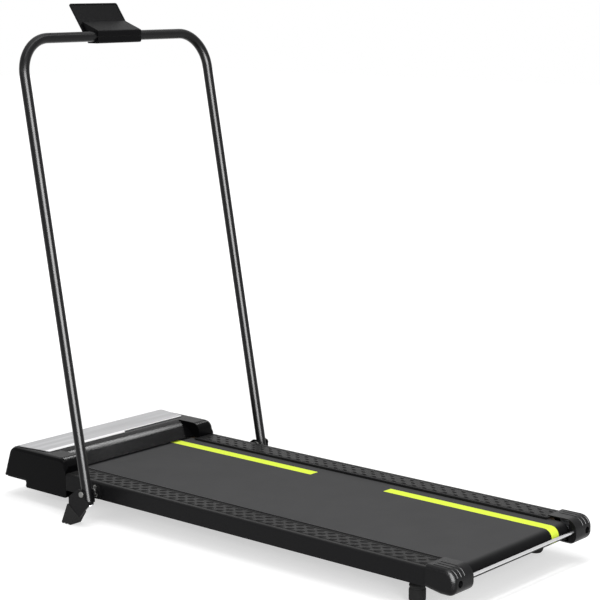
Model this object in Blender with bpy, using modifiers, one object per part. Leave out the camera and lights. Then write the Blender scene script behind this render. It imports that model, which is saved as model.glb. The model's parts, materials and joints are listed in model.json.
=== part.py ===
"""Folding walking treadmill with an upright handrail, as separate named pieces.

Metres, +Z up. The origin is on the floor under the middle of the machine. +Y runs
towards the motor hood, and +X is the walker's right hand.
"""
import math

import bmesh
import bpy
from mathutils import Matrix, Vector

# Driving dimensions: whole machine
LENGTH = 1.244
RAIL_BESIDE_BELT = 0.054
RAIL_TOP = 0.0865
RAIL_DEPTH = 0.0371
RAIL_TREAD = 0.065
RAIL_WALL = 0.0025
FIT = 0.0003
STEEL_SHEET = 0.002
SHEET_BEND = 0.003

# Driving dimensions: running surface
BELT_WIDTH = 0.360
BELT_THICKNESS = 0.0016
BELT_BELOW_RAIL = 0.004
BOARD_BESIDE_BELT = 0.018
BOARD_THICKNESS = 0.012
BOARD_END_GAP = 0.010
ROLLER_RADIUS = 0.0165
ROLLER_SIDE = 0.003
ROLLER_WALL = 0.003
AXLE_RADIUS = 0.004
BEARING_RADIUS = 0.011
BEARING_WIDTH = 0.007
REAR_ROLLER_INSET = 0.039
FRONT_ROLLER_INSET = 0.147
CUSHIONS_PER_SIDE = 6
CUSHION_RADIUS = 0.0085
CUSHION_FIRST_INSET = 0.415
CUSHION_STEP = 0.1205
CUSHION_STRIP = 0.0015

# Driving dimensions: steel frame
FRAME_TOP_FLANGE = 0.0287
FRAME_LOW_FLANGE = 0.0465
FRAME_SKIRT = 0.0006
FRAME_REAR_INSET = 0.018
FRAME_FRONT_INSET = 0.022
STRAP_WIDTH = 0.034
STRAP_DROP = 0.0022
STRAP_REAR_INSET = 0.110
STRAP_BEHIND_HOOD = 0.0585
MOUNT_BLOCK_WIDTH = 0.025
MOUNT_BLOCK_LENGTH = 0.034

# Driving dimensions: motor hood
HOOD_LENGTH = 0.2055
HOOD_TOP = 0.118
HOOD_FLOOR = 0.0315
HOOD_NOSE_FLOOR = 0.0455
HOOD_NOSE_LENGTH = 0.070
HOOD_WALL = 0.0025
HOOD_NOSE_RADIUS = 0.022
HOOD_NOSE_RAKE = 0.025
HOOD_NOSE_CORNER = 0.003
HOOD_WING_RADIUS = 0.020
HOOD_SHOULDER = 0.008
HOOD_WING_WIDTH = 0.048
LIP_TOP_INSET = 0.138
LIP_BREAK_INSET = 0.1565
LIP_BREAK_DROP = 0.0075
LIP_FOOT_INSET = 0.188
LIP_FOOT_RISE = 0.0005
PANEL_THICKNESS = 0.002
PANEL_FRONT_INSET = 0.041
PANEL_REAR_INSET = 0.133
PANEL_FRONT_SIDE = 0.0085
PANEL_REAR_SIDE = 0.020
PANEL_STEP = 0.009
PANEL_STEP_X = 0.022
VENTS_PER_SIDE = 6
VENT_FIRST = 0.026
VENT_STEP = 0.008
VENT_WIDTH = 0.003
VENT_NEAR_X = 0.030
VENT_FAR_X = 0.110
PAN_FLANGE_GAP = 0.022
PAN_FLANGE_HEIGHT = 0.032

# Driving dimensions: drive
MOTOR_RADIUS = 0.033
MOTOR_LENGTH = 0.130
MOTOR_BESIDE_ROLLER = 0.063
MOTOR_INSET = 0.087
MOTOR_Z = 0.0800
SHAFT_RADIUS = 0.004
ROLLER_PULLEY_RADIUS = 0.024
MOTOR_PULLEY_RADIUS = 0.0105
PULLEY_WIDTH = 0.014
PULLEY_RIBS = 5
RIB_DEPTH = 0.0012
DRIVE_BELT_THICKNESS = 0.0026
DRIVE_BELT_WIDTH = 0.0115
PCB_LEFT_X = -0.125
PCB_RIGHT_X = -0.030
PCB_REAR_INSET = 0.117
PCB_FRONT_INSET = 0.022
PCB_Z = 0.0600
PCB_THICKNESS = 0.0016
POST_INSET = 0.005
POST_RADIUS = 0.003
CAPACITORS = ((0.020, 0.017, 0.010, 0.028), (0.045, 0.017, 0.010, 0.028), (0.067, 0.013, 0.006, 0.016))
CONNECTORS = ((0.077, 0.007, 0.014, 0.008, 0.0105), (0.073, 0.055, 0.016, 0.030, 0.0135),
              (0.077, 0.025, 0.012, 0.018, 0.0085))
SINK_SIDE_INSET = 0.007
SINK_FRONT_GAP = 0.008
SINK_LENGTH = 0.032
SINK_HEIGHT = 0.030
SINK_FINS = 7
SINK_PITCH = 0.0075
SINK_FIN = 0.002
SINK_BASE = 0.004

# Driving dimensions: end caps, rear bar and feet
CAP_LENGTH = 0.066
CAP_PROUD = 0.0025
CAP_RISE = 0.0055
CAP_WALL = 0.0025
CAP_OVER_BELT = 0.0050
CAP_TAIL = 0.0175
CAP_FLOOR = 0.0415
CAP_LOW_RADIUS = 0.018
CAP_INNER_CHAMFER = 0.004
CAP_SHOULDER = 0.011
CAP_RADIUS = 0.024
CAP_FLOOR_WALL = 0.0035
CAP_FLUTES = (0.0130, 0.0240, 0.0350)
CAP_FLUTE_WIDTH = 0.0036
CAP_FLUTE_DEPTH = 0.0013
BOLT_WELL_RADIUS = 0.0070
REAR_BAR_RADIUS = 0.0037
REAR_BAR_INSET = 0.0090
REAR_BAR_Z = 0.0665
REAR_BAR_SEAT = 0.012
TENSION_BOLT_RADIUS = 0.003
TENSION_BOLT_INSET = 0.018
REAR_FOOT_INSET = 0.035
REAR_FOOT_RADIUS = 0.0165
REAR_FOOT_NECK = 0.0115

# Driving dimensions: handrail and its hinges
TUBE_RADIUS = 0.011
TUBE_WALL = 0.0015
TUBE_BESIDE_DECK = 0.0426
TUBE_BEND = 0.078
PIVOT_BEHIND_HOOD = 0.1142
PIVOT_Z = 0.0742
BAR_FORWARD = 0.1777
BAR_Z = 1.021
TUBE_BELOW_PIVOT = 0.0246
PIVOT_BOLT_RADIUS = 0.004
EAR_THICKNESS = 0.003
EAR_BEHIND_PIVOT = 0.0085
EAR_ABOVE_PIVOT = 0.0085
EAR_TOP_REACH = 0.0130
EAR_FRONT_REACH = 0.0420
EAR_FRONT_TOP = 0.0620
EAR_FRONT_LOW = 0.0450
EAR_TIP_REACH = 0.0090
EAR_TIP_Z = 0.0220
EAR_INNER_TIP = 0.0207
EAR_INNER_LOW = 0.0540
BRACKET_PLATE = 0.003
BRACKET_BOLTS = ((0.0167, 0.0760), (0.0142, 0.0585), (0.0507, 0.0570))
BRACKET_BOLT_RADIUS = 0.003
BRACKET_REAR_REACH = 0.0040
BRACKET_FRONT_REACH = 0.0657
BRACKET_BREAK_REACH = 0.034
BRACKET_NOSE_Z = 0.0635
BRACKET_BELOW_TREAD = 0.0055
BRACKET_ABOVE_EDGE = 0.001
WEB_SETBACK = 0.0045
WEB_TOP = 0.0610
STOP_BELOW_PIVOT = 0.0222
STOP_HEIGHT = 0.0070
STOP_WIDTH = 0.0080
STOP_MARGIN = 0.0006
SHOE_HALF_WIDTH = 0.0148
SHOE_OUTWARD = 0.0010
SHOE_HEEL_REACH = 0.0362
SHOE_TOE_REACH = 0.0657
SHOE_REAR_TOP = 0.0177
SHOE_FRONT_TOP = 0.0452
SHOE_GROOVES = (0.007, 0.017)
SHOE_GROOVE_DEPTH = 0.0022
PIVOT_HEAD_RADIUS = 0.0065
PIVOT_HEAD_HEIGHT = 0.0045
PIVOT_NUT_RADIUS = 0.0062
PIVOT_NUT_HEIGHT = 0.0050
PLUG_FOOT = 0.003
PLUG_LENGTH = 0.045

# Driving dimensions: console on the top bar
CONSOLE_WIDTH = 0.130
CONSOLE_BACK = 0.0145
CONSOLE_SPLIT = 0.0007
CONSOLE_EDGE_Z = 0.0125
CONSOLE_TOP_Z = 0.0325
CLAMP_DEPTH = 0.0150
CLAMP_FRONT = 0.0205
PLATE_WIDTH = 0.142
PLATE_LENGTH = 0.084
PLATE_THICKNESS = 0.004
PLATE_LEAN = math.radians(36.0)
PLATE_FOOT_Y = 0.0260
PLATE_FOOT_Z = 0.0105
PLATE_BELOW = 0.010
PLATE_RIM = 0.0035
PLATE_RECESS = 0.0012

# Driving dimensions: transport wheels, inlet and switch
WHEEL_RADIUS = 0.022
WHEEL_WIDTH = 0.016
WHEEL_SIDE_INSET = 0.084
WHEEL_INSET = 0.042
WHEEL_Z = 0.0545
WHEEL_AXLE_RADIUS = 0.003
WHEEL_HUB_RADIUS = 0.008
WHEEL_DISH_RADIUS = 0.014
WHEEL_CHAMFER = 0.002
FORK_HALF_LENGTH = 0.009
FORK_FOOT = 0.008
INLET_SIDE_INSET = 0.116
INLET_HALF_X = 0.0135
INLET_HALF_Z = 0.0090
SOCKET_HALF_X = 0.011
SOCKET_HALF_Z = 0.007
SOCKET_CHAMFER = 0.004
SOCKET_DEPTH = 0.018
PRONGS = ((-0.006, -0.001), (0.0, 0.003), (0.006, -0.001))
PRONG_SETBACK = 0.005
SWITCH_SIDE_INSET = 0.076
SWITCH_HALF_X = 0.0095
SWITCH_HALF_Z = 0.0067
SOCKET_Z = 0.0670
ROCKER_HALF_X = 0.0062
ROCKER_RADIUS = 0.0052
ROCKER_DEPTH = 0.0060
ROCKER_TILT = math.radians(8.0)

# Values worked out from the driving dimensions
HALF = BELT_WIDTH / 2 + RAIL_BESIDE_BELT
BOARD_WIDTH = BELT_WIDTH + 2 * BOARD_BESIDE_BELT
REAR = -LENGTH / 2
FRONT = LENGTH / 2
RAIL_LOW = RAIL_TOP - RAIL_DEPTH
RAIL_INNER = HALF - RAIL_TREAD
FRAME_OUT = HALF - RAIL_WALL - FIT
FRAME_TOP = RAIL_TOP - RAIL_WALL - FIT
FRAME_LOW = RAIL_LOW + FRAME_SKIRT
FRAME_REAR = REAR + FRAME_REAR_INSET
FRAME_FRONT = FRONT - FRAME_FRONT_INSET
WEB_INNER = FRAME_OUT - STEEL_SHEET
SHELF_TOP = FRAME_LOW + STEEL_SHEET
SHELF_INNER = FRAME_OUT - FRAME_LOW_FLANGE
BELT_TOP = RAIL_TOP - BELT_BELOW_RAIL
BOARD_TOP = BELT_TOP - BELT_THICKNESS - FIT
BOARD_LOW = BOARD_TOP - BOARD_THICKNESS
ROLLER_Z = BOARD_TOP - ROLLER_RADIUS
BELT_INNER_RADIUS = ROLLER_RADIUS + FIT
BELT_OUTER_RADIUS = BELT_INNER_RADIUS + BELT_THICKNESS
BELT_LOW = ROLLER_Z - BELT_OUTER_RADIUS
REAR_ROLLER_Y = REAR + REAR_ROLLER_INSET
FRONT_ROLLER_Y = FRONT - FRONT_ROLLER_INSET
ROLLER_HALF = BELT_WIDTH / 2 + ROLLER_SIDE
BLOCK_OUTER = WEB_INNER - FIT
BLOCK_INNER = BLOCK_OUTER - MOUNT_BLOCK_WIDTH
REAR_AXLE_REACH = BLOCK_OUTER - 0.004
FRONT_AXLE_REACH = FRAME_OUT - FIT
BOLT_END_Y = REAR_ROLLER_Y - AXLE_RADIUS - 0.003
HOOD_REAR = FRONT - HOOD_LENGTH
HOOD_NOSE_Y = FRONT - HOOD_NOSE_LENGTH
RAIL_FRONT = HOOD_REAR - FIT
STRAP_REAR_Y = REAR + STRAP_REAR_INSET
STRAP_FRONT_Y = HOOD_REAR - STRAP_BEHIND_HOOD
STRAP_PLACES = {"rear": STRAP_REAR_Y, "middle": (STRAP_REAR_Y + STRAP_FRONT_Y) / 2, "front": STRAP_FRONT_Y}
CUSHION_FIRST_Y = FRONT - CUSHION_FIRST_INSET
PANEL_HALF_FRONT = HALF - PANEL_FRONT_SIDE
PANEL_HALF_REAR = HALF - PANEL_REAR_SIDE
CAP_FRONT = REAR + CAP_LENGTH
CAP_TOP = RAIL_TOP + CAP_RISE
CAP_OUTER = HALF + CAP_PROUD
CAP_INNER = BELT_WIDTH / 2 - CAP_OVER_BELT
CAP_WALL_Y = REAR + CAP_TAIL
RAIL_REAR = CAP_FRONT + FIT
REAR_BAR_Y = REAR + REAR_BAR_INSET
STRAP_TOP = FRAME_LOW - FIT
PAN_TOP = HOOD_FLOOR + STEEL_SHEET
NOSE_PAN_TOP = HOOD_NOSE_FLOOR + STEEL_SHEET
TENSION_BOLT_X = HALF - TENSION_BOLT_INSET
REAR_FOOT_X = HALF - REAR_FOOT_INSET
TUBE_HALF_SPAN = HALF + TUBE_BESIDE_DECK
PIVOT_Y = HOOD_REAR - PIVOT_BEHIND_HOOD
BAR_Y = PIVOT_Y + BAR_FORWARD
TUBE_START = -TUBE_BELOW_PIVOT
UPRIGHT = math.hypot(BAR_Y - PIVOT_Y, BAR_Z - PIVOT_Z)
LEAN = math.atan2(BAR_Y - PIVOT_Y, BAR_Z - PIVOT_Z)
EAR_INNER_X = TUBE_HALF_SPAN - TUBE_RADIUS - 2 * FIT - EAR_THICKNESS
EAR_OUTER_X = TUBE_HALF_SPAN + TUBE_RADIUS + 2 * FIT
BRACKET_X = HALF + FIT
BRACKET_REAR = PIVOT_Y + BRACKET_REAR_REACH
BRACKET_FRONT = PIVOT_Y + BRACKET_FRONT_REACH
BRACKET_LOW = RAIL_LOW + BRACKET_ABOVE_EDGE
BRACKET_TOP = RAIL_TOP - BRACKET_BELOW_TREAD
BOLT_PLACES = [(PIVOT_Y + along, up) for along, up in BRACKET_BOLTS]
EAR_FRONT = PIVOT_Y + EAR_FRONT_REACH
EAR_TIP_Y = PIVOT_Y + EAR_TIP_REACH
EAR_SLOPE = (EAR_FRONT_LOW - EAR_TIP_Z) / (EAR_FRONT - EAR_TIP_Y)
STOP_LOW = PIVOT_Z - STOP_BELOW_PIVOT
STOP_FRONT = PIVOT_Y - STOP_BELOW_PIVOT * math.tan(LEAN) - TUBE_RADIUS / math.cos(LEAN) - STOP_MARGIN
CONSOLE_BORE = TUBE_RADIUS + FIT
LIP = [(FRONT - LIP_TOP_INSET, HOOD_TOP), (FRONT - LIP_BREAK_INSET, HOOD_TOP - LIP_BREAK_DROP),
       (FRONT - LIP_FOOT_INSET, RAIL_TOP + LIP_FOOT_RISE)]
LIP_WALL_SHIFT = HOOD_WALL * 1.6
WHEEL_SLOT = WHEEL_RADIUS + 0.0005
NOSE_SLOPE = HOOD_NOSE_RAKE / (HOOD_TOP - HOOD_NOSE_FLOOR)
NOSE_ANGLE = math.atan(NOSE_SLOPE)
NOSE_TIP_Y = FRONT + HOOD_NOSE_CORNER * (1 / math.cos(NOSE_ANGLE) + NOSE_SLOPE - 1)
NOSE_FACE_Y = NOSE_TIP_Y - NOSE_SLOPE * (SOCKET_Z - HOOD_NOSE_FLOOR)
WHEEL_X = HALF - WHEEL_SIDE_INSET
WHEEL_Y = FRONT - WHEEL_INSET
INLET_X = HALF - INLET_SIDE_INSET
SWITCH_X = HALF - SWITCH_SIDE_INSET
MOTOR_Y = FRONT - MOTOR_INSET
MOTOR_RIGHT_X = ROLLER_HALF - MOTOR_BESIDE_ROLLER
MOTOR_LEFT_X = MOTOR_RIGHT_X - MOTOR_LENGTH
PCB_REAR = FRONT - PCB_REAR_INSET
PCB_FRONT = FRONT - PCB_FRONT_INSET
PULLEY_X = ROLLER_HALF + FIT + 0.0042
SIDES = (("left", -1), ("right", 1))

for scene_object in list(bpy.data.objects):
    bpy.data.objects.remove(scene_object, do_unlink=True)

PARTS = bpy.data.collections.new("folding_treadmill")
CUTTERS = bpy.data.collections.new("cutters")
bpy.context.scene.collection.children.link(PARTS)
bpy.context.scene.collection.children.link(CUTTERS)

# A drawing plane's axes: across the sheet, up the sheet, and its thickness
PLANES = {
    "side": Matrix(((0, 0, 1), (1, 0, 0), (0, 1, 0))).to_4x4(),
    "front": Matrix(((1, 0, 0), (0, 0, -1), (0, 1, 0))).to_4x4(),
    "plan": Matrix.Identity(4),
}


def finish(name, colour, roughness, metallic=0.0):
    """A plain surface with one colour, roughness and metallic value."""
    surface = bpy.data.materials.new(name)
    surface.use_nodes = True
    shader = surface.node_tree.nodes["Principled BSDF"]
    shader.inputs["Base Color"].default_value = (*colour, 1.0)
    shader.inputs["Roughness"].default_value = roughness
    shader.inputs["Metallic"].default_value = metallic
    return surface


GLOSS_BLACK = finish("gloss_black_paint", (0.012, 0.012, 0.013), 0.25)
FRAME_BLACK = finish("satin_black_steel", (0.020, 0.020, 0.021), 0.45, 0.2)
MOULDED = finish("moulded_black_plastic", (0.022, 0.022, 0.023), 0.42)
TREAD = finish("foot_rail_plastic", (0.045, 0.045, 0.048), 0.55)
SILVER = finish("brushed_silver_panel", (0.62, 0.62, 0.63), 0.32, 0.6)
BELT_RUBBER = finish("belt_grey", (0.085, 0.085, 0.088), 0.75)
BOARD = finish("waxed_board", (0.16, 0.11, 0.07), 0.6)
RUBBER = finish("black_rubber", (0.02, 0.02, 0.02), 0.8)
BRIGHT = finish("bright_steel", (0.72, 0.72, 0.74), 0.22, 1.0)
CAST = finish("cast_aluminium", (0.55, 0.56, 0.58), 0.4, 1.0)
CIRCUIT = finish("circuit_board_green", (0.02, 0.16, 0.07), 0.5)
CONSOLE = finish("console_plastic", (0.014, 0.014, 0.015), 0.35)


def place(item, collection=PARTS):
    collection.objects.link(item)
    return item


def as_mesh(item, material, collection=PARTS):
    """Replaces a curve object by the closed mesh that it makes."""
    bpy.context.view_layer.update()
    evaluated = item.evaluated_get(bpy.context.evaluated_depsgraph_get())
    mesh = bpy.data.meshes.new_from_object(evaluated)
    work = bmesh.new()
    work.from_mesh(mesh)
    bmesh.ops.remove_doubles(work, verts=work.verts, dist=0.00001)
    bmesh.ops.recalc_face_normals(work, faces=work.faces)
    work.to_mesh(mesh)
    work.free()
    name = item.name
    place_matrix = item.matrix_world.copy()
    bpy.data.objects.remove(item, do_unlink=True)
    solid = bpy.data.objects.new(name, mesh)
    solid.matrix_world = place_matrix
    solid.data.materials.clear()
    solid.data.materials.append(material)
    return place(solid, collection)


def from_bmesh(name, work, material, collection=PARTS, smooth=False):
    mesh = bpy.data.meshes.new(name)
    work.to_mesh(mesh)
    work.free()
    mesh.materials.append(material)
    if smooth:
        mesh.shade_smooth()
        mesh.set_sharp_from_angle(angle=math.radians(35))
    return place(bpy.data.objects.new(name, mesh), collection)


def box(name, low, high, material, edge=0.0, collection=PARTS):
    """A block between two corners, with its edges broken when asked."""
    low, high = Vector(low), Vector(high)
    work = bmesh.new()
    bmesh.ops.create_cube(work, size=1.0)
    bmesh.ops.scale(work, vec=high - low, verts=work.verts)
    bmesh.ops.translate(work, vec=(low + high) / 2, verts=work.verts)
    if edge:
        bmesh.ops.bevel(work, geom=work.edges[:], offset=edge, segments=1, affect="EDGES")
    return from_bmesh(name, work, material, collection)


def rod(name, start, end, radius, material, sides=16, collection=PARTS):
    """A round bar between two points."""
    start, end = Vector(start), Vector(end)
    axis = end - start
    work = bmesh.new()
    bmesh.ops.create_cone(work, cap_ends=True, segments=sides, radius1=radius, radius2=radius,
                          depth=axis.length)
    item = from_bmesh(name, work, material, collection, smooth=True)
    item.rotation_euler = axis.to_track_quat("Z", "Y").to_euler()
    item.location = (start + end) / 2
    return item


def soften(item, chosen, width, segments=2):
    """Rounds the sharp edges of a solid whose two ends pass a test."""
    work = bmesh.new()
    work.from_mesh(item.data)
    world = item.matrix_world
    edges = [edge for edge in work.edges if edge.calc_face_angle(0.0) > math.radians(40)
             and chosen([world @ vert.co for vert in edge.verts])]
    bmesh.ops.bevel(work, geom=edges, offset=width, segments=segments, profile=0.5, affect="EDGES")
    work.to_mesh(item.data)
    work.free()
    return item


def arc(centre, radius, first, last, pieces):
    """Points along an arc, angles in degrees."""
    points = []
    for step in range(pieces + 1):
        angle = math.radians(first + (last - first) * step / pieces)
        points.append((centre[0] + radius * math.cos(angle), centre[1] + radius * math.sin(angle)))
    return points


def rounded(corners, pieces=4):
    """A closed outline from corners (across, up, fillet radius)."""
    points = []
    for index, corner in enumerate(corners):
        here = Vector(corner[:2])
        before = Vector(corners[index - 1][:2]) - here
        after = Vector(corners[(index + 1) % len(corners)][:2]) - here
        radius = corner[2] if len(corner) > 2 else 0.0
        if not radius:
            points.append(tuple(here))
            continue
        half_angle = before.angle(after) / 2
        reach = min(radius / math.tan(half_angle), before.length * 0.49, after.length * 0.49)
        radius = reach * math.tan(half_angle)
        start = here + before.normalized() * reach
        stop = here + after.normalized() * reach
        bisector = (before.normalized() + after.normalized()).normalized()
        centre = here + bisector * radius / math.sin(half_angle)
        first = math.atan2(start.y - centre.y, start.x - centre.x)
        sweep = math.atan2(stop.y - centre.y, stop.x - centre.x) - first
        sweep = (sweep + math.pi) % (2 * math.pi) - math.pi
        points += arc(centre, radius, math.degrees(first), math.degrees(first + sweep), pieces)
    return points


def sheet(name, outline, plane, low, high, material, holes=(), collection=PARTS):
    """A flat outline drawn on a plane and given thickness from low to high."""
    curve = bpy.data.curves.new(name, "CURVE")
    curve.dimensions = "2D"
    curve.fill_mode = "BOTH"
    curve.extrude = (high - low) / 2
    for loop in (outline, *holes):
        spline = curve.splines.new("POLY")
        spline.points.add(len(loop) - 1)
        for point, (across, up) in zip(spline.points, loop):
            point.co = (across, up, 0.0, 1.0)
        spline.use_cyclic_u = True
    item = place(bpy.data.objects.new(name, curve))
    middle = (low + high) / 2
    if plane == "front":
        middle = -middle
    item.matrix_world = PLANES[plane] @ Matrix.Translation((0.0, 0.0, middle))
    return as_mesh(item, material, collection)


def turned(name, profile, centre, material, steps=20, closed=False, collection=PARTS, upright=False):
    """A profile of (radius, along) spun about X, or about Z where it stands upright.

    The profile runs down its outer side. A closed one is a ring with a bore.
    """
    work = bmesh.new()
    verts = [work.verts.new((radius, 0.0, along)) for radius, along in profile]
    for first, second in zip(verts, verts[1:]):
        work.edges.new((first, second))
    if closed:
        work.edges.new((verts[-1], verts[0]))
    item = from_bmesh(name, work, material, collection)
    spin = item.modifiers.new("spin", "SCREW")
    spin.axis = "Z"
    spin.steps = steps
    spin.render_steps = steps
    spin.use_merge_vertices = True
    spin.merge_threshold = 0.00001
    spin.use_smooth_shade = True
    item.location = centre
    if not upright:
        item.rotation_euler = (0.0, math.pi / 2, 0.0)
    return item


def ring(outer, inner, low, high):
    """The closed profile of a plain bush."""
    return [(outer, high), (outer, low), (inner, low), (inner, high)]


def spin_into(work, profile, matrix, steps=12, closed=False):
    """Adds a turned shape about its own Z, moved by a matrix, to a bmesh."""
    shape = bmesh.new()
    verts = [shape.verts.new((radius, 0.0, along)) for radius, along in profile]
    edges = [shape.edges.new(pair) for pair in zip(verts, verts[1:])]
    if closed:
        edges.append(shape.edges.new((verts[-1], verts[0])))
    bmesh.ops.spin(shape, geom=verts + edges, cent=(0, 0, 0), axis=(0, 0, 1),
                   angle=math.tau, steps=steps, use_merge=True)
    bmesh.ops.remove_doubles(shape, verts=shape.verts, dist=0.000001)
    bmesh.ops.recalc_face_normals(shape, faces=shape.faces)
    bmesh.ops.transform(shape, matrix=matrix, verts=shape.verts)
    mesh = bpy.data.meshes.new("turned")
    shape.to_mesh(mesh)
    shape.free()
    work.from_mesh(mesh)
    bpy.data.meshes.remove(mesh)


def bolt_profile(head_radius, head_height, shank_radius, length):
    """A round-headed bolt: its head stands on Z = 0 and its shank runs down."""
    return [(0.0, head_height), (head_radius * 0.75, head_height), (head_radius, head_height * 0.6),
            (head_radius, 0.0), (shank_radius, 0.0), (shank_radius, -length), (0.0, -length)]


def pointing(location, direction):
    """A matrix that puts a turned shape's Z along a direction."""
    turn = Vector(direction).to_track_quat("Z", "Y").to_matrix().to_4x4()
    return Matrix.Translation(location) @ turn


def pipe(name, points, radius, material, collection=PARTS, sides_level=2):
    """A round bar that follows a list of points."""
    curve = bpy.data.curves.new(name, "CURVE")
    curve.dimensions = "3D"
    curve.bevel_depth = radius
    curve.bevel_resolution = sides_level
    curve.use_fill_caps = True
    spline = curve.splines.new("POLY")
    spline.points.add(len(points) - 1)
    for point, co in zip(spline.points, points):
        point.co = (*co, 1.0)
    return as_mesh(place(bpy.data.objects.new(name, curve)), material, collection)


def boolean(item, tool, operation):
    """Cuts a tool out of a piece, or joins it on, and keeps the tool hidden."""
    change = item.modifiers.new(operation.lower(), "BOOLEAN")
    change.operation = operation
    change.solver = "EXACT"
    change.object = tool
    tool.hide_render = True
    tool.display_type = "WIRE"
    return item


def cut(item, *tools):
    for tool in tools:
        boolean(item, tool, "DIFFERENCE")
    return item


def join(item, *tools):
    for tool in tools:
        boolean(item, tool, "UNION")
    return item


def mirrored(points, side):
    """An outline drawn for the right side, moved to the given side."""
    return [(side * across, up) for across, up in points]


def span(side, near, far):
    """Low and high X of something between two distances from the middle."""
    return (near, far) if side > 0 else (-far, -near)


def ride(item, carrier):
    """Hangs a piece on an empty without moving it."""
    item.parent = carrier
    item.matrix_parent_inverse = carrier.matrix_world.inverted()
    return item


def axis_empty(name, location):
    marker = bpy.data.objects.new(name, None)
    marker.location = location
    place(marker)
    bpy.context.view_layer.update()
    return marker


def bolt_holes(name, side):
    """One cutter with a pin for each bolt of the hinge bracket."""
    near = WEB_INNER - 0.004
    far = BRACKET_X + 0.020
    work = bmesh.new()
    for along, up in BOLT_PLACES:
        pin = [(0.0, far), (BRACKET_BOLT_RADIUS + FIT, far), (BRACKET_BOLT_RADIUS + FIT, near), (0.0, near)]
        spin_into(work, pin, pointing((0.0, along, up), (side, 0.0, 0.0)), steps=8)
    return from_bmesh(f"{name}_bolt_holes", work, FRAME_BLACK, CUTTERS)


# Steel frame: two folded channels and four straps below the belt
def side_frame(side_name, side):
    channel = [
        (FRAME_OUT, FRAME_LOW, SHEET_BEND), (FRAME_OUT, FRAME_TOP, SHEET_BEND),
        (FRAME_OUT - FRAME_TOP_FLANGE, FRAME_TOP),
        (FRAME_OUT - FRAME_TOP_FLANGE, FRAME_TOP - STEEL_SHEET),
        (WEB_INNER, FRAME_TOP - STEEL_SHEET), (WEB_INNER, SHELF_TOP),
        (SHELF_INNER, SHELF_TOP), (SHELF_INNER, FRAME_LOW),
    ]
    item = sheet(f"side_frame_{side_name}", mirrored(rounded(channel, 3), side), "front",
                 FRAME_REAR, FRAME_FRONT, FRAME_BLACK)
    low, high = span(side, SHELF_INNER - 0.01, WEB_INNER - FIT / 3)
    drive_notch = box(f"drive_notch_{side_name}",
                      (low, FRONT_ROLLER_Y - ROLLER_PULLEY_RADIUS - 0.012, FRAME_LOW - 0.01),
                      (high, FRAME_FRONT + 0.01, SHELF_TOP + 0.001), FRAME_BLACK, collection=CUTTERS)
    axle_hole = rod(f"front_axle_hole_{side_name}", (side * (WEB_INNER - 0.005), FRONT_ROLLER_Y, ROLLER_Z),
                    (side * (FRAME_OUT + 0.005), FRONT_ROLLER_Y, ROLLER_Z), AXLE_RADIUS + FIT,
                    FRAME_BLACK, sides=20, collection=CUTTERS)
    return cut(item, drive_notch, axle_hole, bolt_holes(f"frame_{side_name}", side))


def strap(name, middle):
    """A folded cross strap: bolted under both channels, dropped below the belt."""
    outer = FRAME_OUT - 0.003
    step_top = BELT_WIDTH / 2 + 0.0045
    step_low = BELT_WIDTH / 2 + 0.0025
    drop_top = BELT_LOW - STRAP_DROP
    under = STRAP_TOP - STEEL_SHEET
    right = [(outer, STRAP_TOP), (outer, under), (step_top + 0.0017, under),
             (step_low + 0.0017, drop_top - STEEL_SHEET)]
    left = [(-across, up) for across, up in reversed(right)]
    upper_left = [(-step_top, STRAP_TOP), (-step_low, drop_top)]
    upper_right = [(step_low, drop_top), (step_top, STRAP_TOP)]
    return sheet(name, right + left + upper_left + upper_right, "front",
                 middle - STRAP_WIDTH / 2, middle + STRAP_WIDTH / 2, FRAME_BLACK)


for side_name, side in SIDES:
    side_frame(side_name, side)
for strap_name, strap_y in STRAP_PLACES.items():
    strap(f"{strap_name}_crossmember", strap_y)


# Running surface: board on cushions, endless belt, two rollers
def running_surface():
    board_rear = REAR_ROLLER_Y + ROLLER_RADIUS + BOARD_END_GAP
    board_front = FRONT_ROLLER_Y - ROLLER_RADIUS - BOARD_END_GAP
    nose = BOARD_THICKNESS * 0.3
    outline = rounded([
        (board_rear, BOARD_LOW, nose), (board_front, BOARD_LOW, nose),
        (board_front, BOARD_TOP, nose), (board_rear, BOARD_TOP, nose)], 3)
    sheet("deck_board", outline, "side", -BOARD_WIDTH / 2, BOARD_WIDTH / 2, BOARD)
    loops = []
    for radius in (BELT_OUTER_RADIUS, BELT_INNER_RADIUS):
        loops.append(arc((REAR_ROLLER_Y, ROLLER_Z), radius, 90, 270, 14)
                     + arc((FRONT_ROLLER_Y, ROLLER_Z), radius, -90, 90, 14))
    sheet("running_belt", loops[0], "side", -BELT_WIDTH / 2, BELT_WIDTH / 2, BELT_RUBBER,
          holes=[loops[1]])


def cushions(side_name, side):
    """Waisted rubber mounts, moulded on one strip, between the shelf and the board."""
    low = SHELF_TOP + FIT
    high = BOARD_LOW - FIT
    across = side * (SHELF_INNER + CUSHION_RADIUS + FIT)
    profile = [(0.0, high), (CUSHION_RADIUS, high), (CUSHION_RADIUS * 0.8, (low + high) / 2),
               (CUSHION_RADIUS, low + CUSHION_STRIP * 0.5), (0.0, low + CUSHION_STRIP * 0.5)]
    places = [CUSHION_FIRST_Y - number * CUSHION_STEP for number in range(CUSHIONS_PER_SIDE)]
    strip = box(f"cushion_strip_{side_name}",
                (across - CUSHION_RADIUS, places[-1] - 2 * CUSHION_RADIUS, low),
                (across + CUSHION_RADIUS, places[0] + 2 * CUSHION_RADIUS, low + CUSHION_STRIP), RUBBER)
    work = bmesh.new()
    for along in places:
        spin_into(work, profile, Matrix.Translation((across, along, 0.0)), steps=8)
    return join(strip, from_bmesh(f"cushion_pads_{side_name}", work, RUBBER, CUTTERS))


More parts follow.
